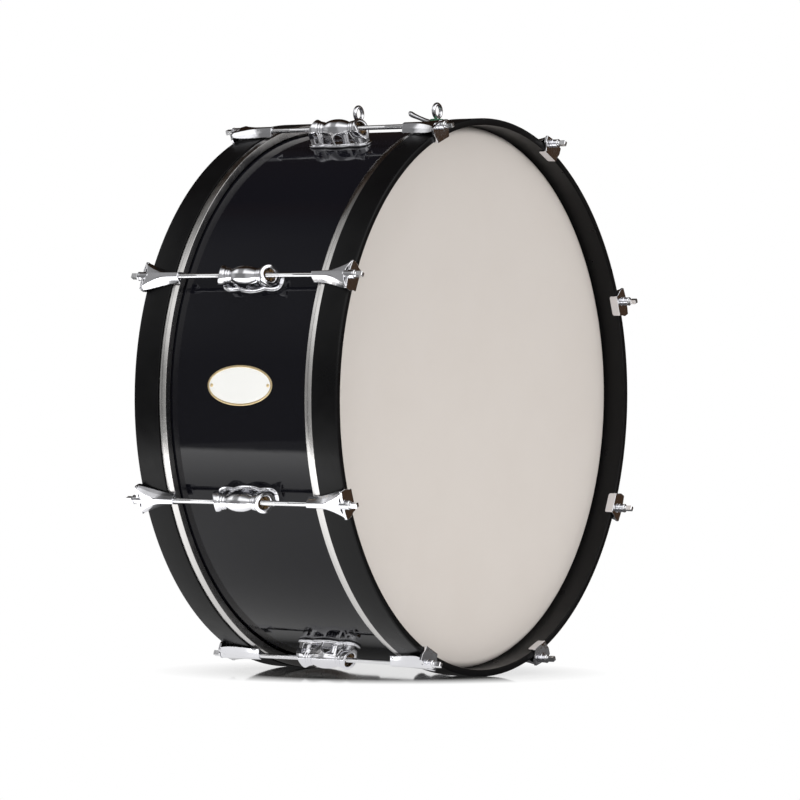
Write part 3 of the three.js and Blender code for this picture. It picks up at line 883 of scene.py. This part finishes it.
CLAW_LIP = (
    (-14.4, 158.6), (-14.4, 150.0, 1.5), (-12.8, 148.2, 1.2),
    (12.8, 148.2, 1.2), (14.4, 150.0, 1.5), (14.4, 158.6))
CLAW_LIP_HEIGHTS = (-11.8, -10.0)
CLAW_SEAT_RADIUS, CLAW_BORE_RADIUS = 5.6, 3.5


def claw_section(y, wall=0.0):
    """One section of the claw's cover, or of the hollow under it when a wall thickness is given.

    The wall's shares along x and z allow for the slope at each line, so the cover stays evenly thick.
    """
    crease_x = value_along(CLAW_CREASE_X, y) - 0.75 * wall
    crease_z = value_along(CLAW_CREASE_Z, y) - 0.8 * wall
    edge_x, edge_z = value_along(CLAW_EDGE_X, y) - 1.05 * wall, value_along(CLAW_EDGE_Z, y)
    crest_x = min(CLAW_CREST_HALF, crease_x * 0.9)
    half = [
        (edge_x, edge_z), ((edge_x + crease_x) / 2 + 0.3, (edge_z + crease_z) / 2), (crease_x, crease_z),
        (crest_x, CLAW_CREST_TOP - 0.2 - wall), (0.0, CLAW_CREST_TOP - wall)]
    if wall:
        half.insert(0, (edge_x, -4.0))
    around = half + [(-x, z) for x, z in reversed(half[:-1])]
    return [(x, y, SIZE["hoop_radius"] + z) for x, z in around]


def inside_claw(centre, normal):
    """Whether a face of the claw looks into its hollow, where it gets painted shade."""
    z = centre.z - SIZE["hoop_radius"]
    inward = centre.x * normal.x < -0.2 * abs(centre.x) or normal.z < -0.3
    return inward and centre.y < CLAW_PLATE_Y and 2.2 < z < CLAW_CREST_TOP - 1.0


def make_claw():
    """The claw: a ridged hollow cover with a notched fish tail, its hook and its rod seat."""
    wall, base = in_mm(sizes().claw_wall), SIZE["hoop_radius"]
    start, end = SIZE["claw_inner_y"], SIZE["claw_outer_y"]
    tail, steps = CLAW_PLATE_Y + CLAW_PLATE_THICK, 28
    rows = [start + (tail - start) * k / steps for k in range(steps + 1)]
    cover = loft("claw", [claw_section(y) for y in rows])
    hollow_rows = [start + wall, *rows[1:], tail + 2.0]
    hollow = loft("hollow", [claw_section(y, wall) for y in hollow_rows])
    xs = [CLAW_TAIL_HALF * (k / 12 - 1) * 1.1 for k in range(25)]
    notch = [(x, CLAW_TAIL_MIDDLE + CLAW_TAIL_DEPTH * (abs(x) / CLAW_TAIL_HALF) ** 1.5) for x in xs]
    notch += [(xs[-1], tail + 4.0), (xs[0], tail + 4.0)]
    combine(cover, [hollow, prism("notch", notch, base - 4.0, base + 20.0)], "DIFFERENCE")
    plate = moved(prism("plate", eased(CLAW_PLATE, 4), CLAW_PLATE_Y, tail, "y"), z=base)
    lip = prism("lip", eased(CLAW_LIP, 4), *[base + z for z in CLAW_LIP_HEIGHTS])
    seat_start = CLAW_TAIL_MIDDLE - 2
    seat_outline = [
        (0, seat_start), (CLAW_SEAT_RADIUS, seat_start, 0.8), (CLAW_SEAT_RADIUS, end, 0.8), (0, end)]
    low, high = start - 5, end + 5
    bore_outline = [(0, low), (CLAW_BORE_RADIUS, low), (CLAW_BORE_RADIUS, high), (0, high)]
    rod_axis = STATION_BASE_RADIUS + ROD_HEIGHT
    seat = moved(turned("seat", eased(seat_outline), 40), z=rod_axis)
    bore = moved(turned("bore", bore_outline, 28), z=rod_axis)
    cast(gather(cover, [plate, lip, seat]), sizes().casting_voxel * 0.8, 2, 0.4)
    combine(cover, [bore], "DIFFERENCE")
    cover.data.shade_smooth()
    # The faces in the claw's hollow get the dark painted shade.
    return paint_hollow_shade(cover, inside_claw)


EYE_RING_RADIUS, EYE_RING_CENTRE = 9.0, 27.5
EYE_AROUND, EYE_ACROSS = 56, 20
EYE_FOOT = (
    (0, -0.6), (10.8, -0.6), (10.8, 2.4, 1.2), (6.4, 6.0, 3.0), (4.2, 12.0, 3.0), (3.6, 17.4, 0.6),
    (0, 17.4))
EYE_WASHER = ((4.4, 13.6), (9.2, 13.6, 0.6), (9.2, 16.6, 0.6), (4.4, 16.6))
FINE_VOXEL = 0.4


def circle(count):
    """The cosine and sine of evenly spaced angles."""
    return [(math.cos(2 * math.pi * k / count), math.sin(2 * math.pi * k / count)) for k in range(count)]


def make_sling_eye():
    """A sling eye: an upright ring on a turned, coned foot."""
    wire = in_mm(sizes().eye_wire)
    sections = []
    for up, aside in circle(EYE_AROUND):
        out = Vector((aside, 0, up))
        middle = out * EYE_RING_RADIUS + Vector((0, 0, EYE_RING_CENTRE))
        sections.append([middle + out * wire * u + Vector((0, wire * v, 0)) for u, v in circle(EYE_ACROSS)])
    ring = loft("eye", sections, closed_loop=True, smooth_angle=60.0)
    combine(ring, [stood_up(turned("foot", eased(EYE_FOOT), 48))], "UNION")
    return cast(ring, FINE_VOXEL * MM, 2, 0.5)


# The lever's spine as (y, z, half width, half height), its collar and the hole for the eye's foot.
LEVER_SPINE = (
    (0.0, 11.6, 4.8, 3.2), (9.0, 12.6, 4.6, 3.2), (18.0, 15.2, 3.8, 3.2), (28.0, 19.0, 3.6, 3.2),
    (35.0, 21.8, 3.8, 3.6), (40.0, 24.0, 4.0, 4.2), (43.4, 25.2, 3.4, 3.6), (45.0, 25.8, 1.6, 1.8))
LEVER_COLLAR = ((0, 8.2), (9.0, 8.2, 1), (9.0, 13.4, 1.5), (0, 13.4))
LEVER_HOLE = ((0, 4.0), (6.2, 4.0), (6.2, 9.0), (4.4, 16.0), (4.4, 22.0), (0, 22.0))


def make_lever():
    """The small cast thumb lever that stands beside the front eye's foot."""
    sections = [[(half_width * u, y, z + half_height * v) for u, v in circle(20)]
                for y, z, half_width, half_height in LEVER_SPINE]
    lever = loft("cast_front_eye_lever", sections, smooth_angle=60.0)
    combine(lever, [stood_up(turned("collar", eased(LEVER_COLLAR), 40))], "UNION")
    combine(lever, [stood_up(turned("hole", LEVER_HOLE, 32))], "DIFFERENCE")
    return cast(lever, FINE_VOXEL * MM, 3, 0.5)


# The badge's plate and rim lie between two heights above the shell.
BADGE_PLATE, BADGE_RIM = (0.1, 1.0), (0.1, 1.4)
BADGE_PLATE_INSET = 0.8
BADGE_PIN = ((0, -1.0), (2.3, -1.0), (2.3, 0.6, 0.9), (0, 1.6))
BADGE_PIN_FROM_END = 6.5


def bent_oval(name, half_length, half_height, low, high, hollow=0.0):
    """An oval plate bent to the shell between two heights above it; hollow leaves only a rim that wide."""
    radius = SIZE["shell_radius"]

    def loop(inset, height):
        points = []
        for along, across in circle(96):
            turn = (half_height - inset) * across / radius
            reach = radius + height
            points.append((-reach * math.cos(turn), (half_length - inset) * along, reach * math.sin(turn)))
        return points

    edge = min(0.5, (high - low) / 2)
    loops = [loop(0.0, low), loop(0.0, high - edge), loop(edge, high)]
    if hollow:
        loops += [loop(hollow - edge, high), loop(hollow, high - edge), loop(hollow, low)]
    else:
        loops += [loop(half_height * share, high) for share in (0.25, 0.5, 0.75)]
    return loft(name, loops, closed_loop=bool(hollow), smooth_angle=50.0)


# Operators

class DRUM_OT_shell(bpy.types.Operator):
    """Builds the lacquered shell and finishes the steel strips inside it"""

    bl_idname = "drum.shell"
    bl_label = "Shell"

    def execute(self, context):
        shell = make_shell()
        shell.matrix_world = AXIS
        paint(shell, lacquer_material())
        fit(shell, DRUM_BODY, "shell")
        steel = steel_material()
        for node in ("sling_eye_backing_plate", *(f"lug_fixing_{n}" for n in range(1, STATIONS + 1))):
            paint(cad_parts[node], steel)
        return {"FINISHED"}


class DRUM_OT_hoops(bpy.types.Operator):
    """Builds the two wooden hoops"""

    bl_idname = "drum.hoops"
    bl_label = "Hoops"

    def execute(self, context):
        spread(make_hoop(), BOTH_SIDES, at_end, "satin_{side}_hoop", [hoop_material()],
               DRUM_BODY, "{side}_hoop")
        return {"FINISHED"}


class DRUM_OT_flesh_hoops(bpy.types.Operator):
    """Builds the two metal flesh hoops"""

    bl_idname = "drum.flesh_hoops"
    bl_label = "Flesh hoops"

    def execute(self, context):
        spread(make_band(), BOTH_SIDES, at_end, "drawn_{side}_flesh_hoop", [aluminium_material()],
               DRUM_BODY, "{side}_flesh_hoop")
        return {"FINISHED"}


class DRUM_OT_heads(bpy.types.Operator):
    """Builds the two heads"""

    bl_idname = "drum.heads"
    bl_label = "Heads"

    def execute(self, context):
        spread(make_head(), BOTH_SIDES, at_end, "coated_{side}_head", [film_material()],
               DRUM_BODY, "{side}_head")
        return {"FINISHED"}


class DRUM_OT_lugs(bpy.types.Operator):
    """Builds the eight double-ended lugs and their swivel nuts"""

    bl_idname = "drum.lugs"
    bl_label = "Lugs"

    def execute(self, context):
        on_shell = partial(at_station, height=STATION_BASE_RADIUS)
        # The lugs' second material is the painted shade in their hollows.
        spread(make_lug(), ALL_STATIONS, on_shell, "cast_lug_{n}", [chrome_material(), hollow_shade_material()],
               DRUM_BODY, "lug_{n}")
        spread(make_swivel_nut(), ALL_ENDS, on_shell, "{side}_swivel_nut_{n}", [brass_material()], DRUM_BODY)
        return {"FINISHED"}


class DRUM_OT_claws(bpy.types.Operator):
    """Builds the sixteen claws"""

    bl_idname = "drum.claws"
    bl_label = "Claws"

    def execute(self, context):
        # The claws' second material is the painted shade in their hollows.
        finishes = [bpy.data.materials[name] for name in ("bright_chrome_plate", "painted_hollow_shade")]
        spread(make_claw(), ALL_ENDS, at_station, "pressed_{side}_claw_{n}", finishes,
               "{side}_claw_{n}", "{side}_claw_{n}")
        return {"FINISHED"}


class DRUM_OT_rods(bpy.types.Operator):
    """Builds the sixteen tension rods"""

    bl_idname = "drum.rods"
    bl_label = "Tension rods"

    def execute(self, context):
        on_axis = partial(at_station, height=STATION_BASE_RADIUS + ROD_HEIGHT)
        spread(make_rod(), ALL_ENDS, on_axis, "threaded_{side}_rod_{n}", [rod_material()],
               "{side}_rod_{n}", "{side}_rod_{n}")
        return {"FINISHED"}


class DRUM_OT_sling_eyes(bpy.types.Operator):
    """Builds the two sling eyes, the washer under the front one and the small lever beside it"""

    bl_idname = "drum.sling_eyes"
    bl_label = "Sling eyes"

    def execute(self, context):
        chrome = bpy.data.materials["bright_chrome_plate"]
        rise = Matrix.Translation((0, SIZE["eye_y"] * MM, STATION_BASE_RADIUS * MM))
        spread(make_sling_eye(), BOTH_SIDES, lambda side: at_end(side) @ rise, "turned_{side}_sling_eye",
               [chrome], DRUM_BODY, "{side}_sling_eye")
        front = AXIS @ Matrix.Translation((0, -SIZE["eye_y"] * MM, STATION_BASE_RADIUS * MM))
        lever = make_lever()
        washer = stood_up(turned("front_eye_washer", eased(EYE_WASHER), 40))
        lever.matrix_world = washer.matrix_world = front
        paint(lever, chrome)
        paint(washer, washer_material())
        fit(lever, DRUM_BODY, "front_eye_lever")
        fit(washer, DRUM_BODY)
        return {"FINISHED"}


class DRUM_OT_badge(bpy.types.Operator):
    """Builds the plain oval badge, its gilt rim and its two pins"""

    bl_idname = "drum.badge"
    bl_label = "Badge"

    def execute(self, context):
        half_length, half_height = SIZE["badge_length"] / 2, SIZE["badge_height"] / 2
        turn = math.asin((SIZE["badge_centre_z"] - SIZE["axis_height"]) / SIZE["shell_radius"])
        place = AXIS @ Matrix.Rotation(turn, 4, "Y")
        inset = BADGE_PLATE_INSET
        plate = bent_oval("badge_plate", half_length - inset, half_height - inset, *BADGE_PLATE)
        rim = bent_oval("badge_rim", half_length, half_height, *BADGE_RIM, in_mm(sizes().badge_rim))
        plate.matrix_world = rim.matrix_world = place
        gilt = gilt_material()
        paint(plate, enamel_material())
        paint(rim, gilt)
        fit(plate, DRUM_BODY, "badge")
        fit(rim, DRUM_BODY)
        for side, sign in SIDES.items():
            pin = turned(f"{side}_badge_pin", eased(BADGE_PIN), 24)
            hole = Vector((-(SIZE["shell_radius"] + 1.0), sign * (half_length - BADGE_PIN_FROM_END), 0))
            pin.matrix_world = place @ Matrix.Translation(hole * MM) @ Matrix.Rotation(math.pi / 2, 4, "Z")
            paint(pin, gilt)
            fit(pin, DRUM_BODY)
        return {"FINISHED"}


class DRUM_OT_stage(bpy.types.Operator):
    """Sets up the floor, the light, the background and the camera"""

    bl_idname = "drum.stage"
    bl_label = "Stage"

    def execute(self, context):
        context.scene.view_settings.view_transform = "Standard"
        make_floor()
        make_world()
        make_lamps()
        make_camera()
        return {"FINISHED"}


WHITE = (1, 1, 1, 1)
FLOOR_RADIUS = 1250.0
FLOOR_ROUGHNESS = 0.05
FLOOR_SHADOW_REACH = (280.0, 200.0, 1000.0)
FLOOR_BOUNCE = "#F8F7F5"
# Each ramp is (level at its start, level at its end, start, end), in metres or as part of a direction.
FLOOR_MELT = (0.0, 1.0, 0.85, 1.35)
# These ramps set how polished surfaces see the floor: a painted glow that grows towards one metre, with a
# painted shadow under the drum.
FLOOR_GLOW_NEAR, FLOOR_GLOW_FAR = (0.7, 1.1, 0.1, 0.45), (0.0, 0.72, 0.3, 0.85)
FLOOR_GLOW_END, FLOOR_GLOW_BRIGHT_END = (0.12, 1.0, -1.0, -0.94), (2.0, 1.0, -0.96, -0.62)
FLOOR_GLOW_PAINTED_SHADE = (1.0, 0.08, -0.13, -0.08)


def make_floor():
    """A round floor whose far part melts into the white background for the camera; near the drum the camera
    sees it darkened as painted shade, and polished surfaces see it as a painted glow.
    """
    points = [(FLOOR_RADIUS * u, FLOOR_RADIUS * v, 0) for u, v in circle(96)]
    floor = new_object("floor", points, [list(range(len(points)))])
    material = bpy.data.materials.new("paper_floor_with_painted_light")
    material.use_nodes = True
    tree = material.node_tree
    tree.nodes.clear()
    place = add_node(tree, "ShaderNodeTexCoord").outputs["Object"]
    distance = add_node(tree, "ShaderNodeVectorMath", {"operation": "LENGTH"}, {0: place}).outputs["Value"]
    spot = add_node(tree, "ShaderNodeVectorMath", {"operation": "MULTIPLY"}, {
        0: place, 1: tuple(1 / (MM * reach) for reach in FLOOR_SHADOW_REACH)}).outputs["Vector"]
    beyond = add_node(tree, "ShaderNodeVectorMath", {"operation": "LENGTH"}, {0: spot}).outputs["Value"]
    path = add_node(tree, "ShaderNodeLightPath")
    seen, mirrored = path.outputs["Is Camera Ray"], path.outputs["Is Glossy Ray"]
    # For the camera the floor takes the dark floor colour: painted shade under and around the drum.
    glazed = add_node(tree, "ShaderNodeBsdfPrincipled", {}, {
        "Base Color": (*stage_settings().floor, 1), "Roughness": FLOOR_ROUGHNESS, "IOR": 1.5})
    paper = add_node(tree, "ShaderNodeBsdfDiffuse", {}, {"Color": (*linear(FLOOR_BOUNCE), 1)})
    white = add_node(tree, "ShaderNodeEmission", {}, {"Color": WHITE, "Strength": 1.0})
    # Polished surfaces see the floor as a painted glow, brightest near its end, at one metre, and a dim room
    # beyond it.
    left = add_node(tree, "ShaderNodeSeparateXYZ", {}, {0: place}).outputs["X"]
    sheet_glow = math_node(tree, "ADD", ramp(tree, distance, *FLOOR_GLOW_NEAR), ramp(tree, distance, *FLOOR_GLOW_FAR))
    # Right under the drum this glow is dimmed: a painted shadow.
    ends = [ramp(tree, left, *end) for end in (FLOOR_GLOW_END, FLOOR_GLOW_BRIGHT_END, FLOOR_GLOW_PAINTED_SHADE)]
    # This emission is the painted glow that polished surfaces see in the floor.
    mirror = add_node(tree, "ShaderNodeEmission", {}, {
        "Color": WHITE, "Strength": math_node(tree, "MULTIPLY", sheet_glow, *ends)})

    def mixed(share, first, second):
        return add_node(tree, "ShaderNodeMixShader", {}, {
            0: share, 1: first.outputs[0], 2: second.outputs[0]})

    melt = math_node(tree, "MULTIPLY", ramp(tree, beyond, *FLOOR_MELT), seen)
    look = mixed(mirrored, mixed(melt, mixed(seen, paper, glazed), white), mirror)
    add_node(tree, "ShaderNodeOutputMaterial", {}, {"Surface": look.outputs["Shader"]})
    paint(floor, material)


ROOM_HORIZON, ROOM_LOW, ROOM_CURTAIN, ROOM_HIGH = 0.19, 0.4, 0.3, 1.2
ROOM_BESIDE = (0.0, 1.0, -0.1, 0.3)
ROOM_LOW_DIP = (ROOM_LOW, ROOM_HORIZON, 0.15, 0.32), (ROOM_HORIZON, ROOM_LOW, 0.76, 0.9)
ROOM_CURTAIN_DIP = (ROOM_HIGH, ROOM_CURTAIN, 0.34, 0.46), (ROOM_CURTAIN, ROOM_HIGH, 0.62, 0.74)
ROOM_RISE, ROOM_CEILING = (0.0, 1.0, 0.18, 0.42), (1.0, 0.15, 0.68, 0.92)
WINDOW_SIDE, WINDOW_RISE = (1.0, 0.0, -0.75, -0.5), (0.0, 1.5, 0.06, 0.18)
BACKDROP_AT, BACKDROP_SIDE, BACKDROP_RISE = (0.84, 0.54), (0.0, 1.0, 0.9, 0.95), (1.0, 0.0, 0.075, 0.11)
BROWN_WALL_AT, BROWN_WALL_SIDE = (0.84, -0.54), (0.015, 0.05, 0.7, 0.9)
ROOM_WARM, ROOM_WARM_BELOW = "#FFCBA4", (1.0, 0.0, 0.055, 0.1)


def make_world():
    """White behind the drum; polished surfaces see a dim room with a soft band and a window instead."""
    world = bpy.data.worlds.new("studio")
    bpy.context.scene.world = world
    world.use_nodes = True
    tree = world.node_tree
    tree.nodes.clear()
    direction = add_node(tree, "ShaderNodeTexCoord").outputs["Generated"]
    rise = add_node(tree, "ShaderNodeSeparateXYZ", {}, {0: direction}).outputs["Z"]

    def towards(x, y):
        node = add_node(tree, "ShaderNodeVectorMath", {"operation": "DOT_PRODUCT"}, {
            0: direction, 1: (x, y, 0.0)})
        return node.outputs["Value"]

    def most(*values):
        return math_node(tree, "MAXIMUM", *values)

    def product(*values):
        return math_node(tree, "MULTIPLY", *values)

    def blend(share, first, second):
        node = add_node(tree, "ShaderNodeMix", {}, {"Factor": share, "A": first, "B": second})
        return node.outputs["Result"]

    back = towards(0.0, 1.0)
    low = most(*(ramp(tree, back, *edge) for edge in ROOM_LOW_DIP))
    # The barrel of the drum mirrors only a narrow slice of the room, where a dark curtain hangs.
    high = most(*(ramp(tree, back, *edge) for edge in ROOM_CURTAIN_DIP))
    side = blend(ramp(tree, rise, *ROOM_RISE), low, high)
    room = product(side, ramp(tree, rise, *ROOM_CEILING), ramp(tree, towards(-1.0, 0.0), *ROOM_BESIDE))
    window = product(ramp(tree, back, *WINDOW_SIDE), ramp(tree, rise, *WINDOW_RISE))
    brown = ramp(tree, towards(*BROWN_WALL_AT), *BROWN_WALL_SIDE)
    # The white sheet behind the drum is a low strip that only the floor and grazing faces mirror.
    sheet_glow = product(ramp(tree, towards(*BACKDROP_AT), *BACKDROP_SIDE), ramp(tree, rise, *BACKDROP_RISE))
    reflected = most(room, brown, window, sheet_glow)
    path = add_node(tree, "ShaderNodeLightPath").outputs
    shiny = most(path["Is Glossy Ray"], path["Is Transmission Ray"])
    strength = blend(path["Is Camera Ray"], blend(shiny, stage_settings().sky_level, reflected), 1.0)
    # Where the room is dark it is warm.
    warmth = product(shiny, ramp(tree, reflected, *ROOM_WARM_BELOW))
    tint = add_node(tree, "ShaderNodeMix", {"data_type": "RGBA"}, {
        "Factor": warmth, "A": WHITE, "B": (*linear(ROOM_WARM), 1)})
    sky = add_node(tree, "ShaderNodeBackground", {}, {
        "Color": tint.outputs["Result"], "Strength": strength})
    add_node(tree, "ShaderNodeOutputWorld", {}, {"Surface": sky.outputs["Background"]})


LAMP_TARGET = (0, 0, 0.37)
# The lamps as (name, place, width, height, the setting of their radiance): a big soft key at the camera's
# left, a fill at its right and a small light above.
LAMPS = (
    ("key_softbox", (-2.4, -0.4, 1.5), 1.2, 1.4, "key_level"),
    ("fill_softbox", (0.6, -2.8, 1.0), 2.2, 2.0, "fill_level"),
    ("top_softbox", (0.0, 0.0, 3.0), 1.0, 1.0, "top_level"))


def make_lamps():
    """Sets up flat soft lamps of even radiance, which polished surfaces don't mirror."""
    for name, place, width, height, setting in LAMPS:
        light = bpy.data.lights.new(name, "AREA")
        light.shape = "RECTANGLE"
        light.size, light.size_y = width, height
        light.energy = getattr(stage_settings(), setting) * math.pi * width * height
        lamp = bpy.data.objects.new(name, light)
        lamp.location = place
        lamp.rotation_euler = (Vector(LAMP_TARGET) - Vector(place)).to_track_quat("-Z", "Y").to_euler()
        lamp.visible_camera = lamp.visible_glossy = False
        bpy.context.scene.collection.objects.link(lamp)


CAMERA_AZIMUTH, CAMERA_ELEVATION, CAMERA_ROLL = -57.17, -1.13, 1.29
CAMERA_DISTANCE = 5.372
CAMERA_FOCAL_PIXELS = 3991.0
IMAGE_PIXELS = 800
DRUM_CENTRE_PIXEL = (391.3, 396.6)
SENSOR_WIDTH = 36.0


def make_camera():
    """The camera of the photograph, aimed so that the drum's middle falls on its pixel."""
    azimuth, elevation, roll = (math.radians(a) for a in (CAMERA_AZIMUTH, CAMERA_ELEVATION, CAMERA_ROLL))
    back = Vector((math.sin(azimuth) * math.cos(elevation), -math.cos(azimuth) * math.cos(elevation),
                   math.sin(elevation)))
    level = Vector((math.cos(azimuth), math.sin(azimuth), 0))
    rise = back.cross(level)
    right = level * math.cos(roll) + rise * math.sin(roll)
    up = rise * math.cos(roll) - level * math.sin(roll)
    data = bpy.data.cameras.new("camera")
    data.sensor_width = SENSOR_WIDTH
    data.lens = CAMERA_FOCAL_PIXELS / IMAGE_PIXELS * SENSOR_WIDTH
    data.shift_x = (IMAGE_PIXELS / 2 - DRUM_CENTRE_PIXEL[0]) / IMAGE_PIXELS
    data.shift_y = (DRUM_CENTRE_PIXEL[1] - IMAGE_PIXELS / 2) / IMAGE_PIXELS
    camera = bpy.data.objects.new("camera", data)
    axes = Matrix((right, up, back)).transposed().to_4x4()
    centre = Vector((0, 0, SIZE["axis_height"] * MM))
    camera.matrix_world = Matrix.Translation(centre + back * CAMERA_DISTANCE) @ axes
    bpy.context.scene.collection.objects.link(camera)
    bpy.context.scene.camera = camera


class DRUM_PT_sidebar(bpy.types.Panel):
    """The drum's builders and settings in the sidebar"""

    bl_idname = "DRUM_PT_sidebar"
    bl_label = "Marching Bass Drum"
    bl_space_type = "VIEW_3D"
    bl_region_type = "UI"
    bl_category = "Drum"

    def draw(self, context):
        layout = self.layout
        for operator in OPERATORS:
            layout.operator(operator.bl_idname)
        for title, group in (("Sizes", context.scene.drum_sizes), ("Colours", context.scene.drum_colours),
                             ("Stage", context.scene.drum_stage)):
            layout.label(text=title)
            for name in group.__annotations__:
                layout.prop(group, name)


OPERATORS = (
    DRUM_OT_shell, DRUM_OT_hoops, DRUM_OT_flesh_hoops, DRUM_OT_heads, DRUM_OT_lugs, DRUM_OT_claws,
    DRUM_OT_rods, DRUM_OT_sling_eyes, DRUM_OT_badge, DRUM_OT_stage)
CLASSES = (DrumSizes, DrumColours, DrumStage, *OPERATORS, DRUM_PT_sidebar)


def register():
    """Registers the classes and the scene's settings."""
    for item in CLASSES:
        bpy.utils.register_class(item)
    bpy.types.Scene.drum_sizes = bpy.props.PointerProperty(type=DrumSizes)
    bpy.types.Scene.drum_colours = bpy.props.PointerProperty(type=DrumColours)
    bpy.types.Scene.drum_stage = bpy.props.PointerProperty(type=DrumStage)


def unregister():
    """Removes the settings and the classes."""
    del bpy.types.Scene.drum_stage
    del bpy.types.Scene.drum_colours
    del bpy.types.Scene.drum_sizes
    for item in reversed(CLASSES):
        bpy.utils.unregister_class(item)


def main():
    """Builds the whole drum."""
    register()
    bpy.ops.drum.shell()
    bpy.ops.drum.hoops()
    bpy.ops.drum.flesh_hoops()
    bpy.ops.drum.heads()
    bpy.ops.drum.lugs()
    bpy.ops.drum.claws()
    bpy.ops.drum.rods()
    bpy.ops.drum.sling_eyes()
    bpy.ops.drum.badge()
    bpy.ops.drum.stage()


if __name__ == "__main__":
    main()
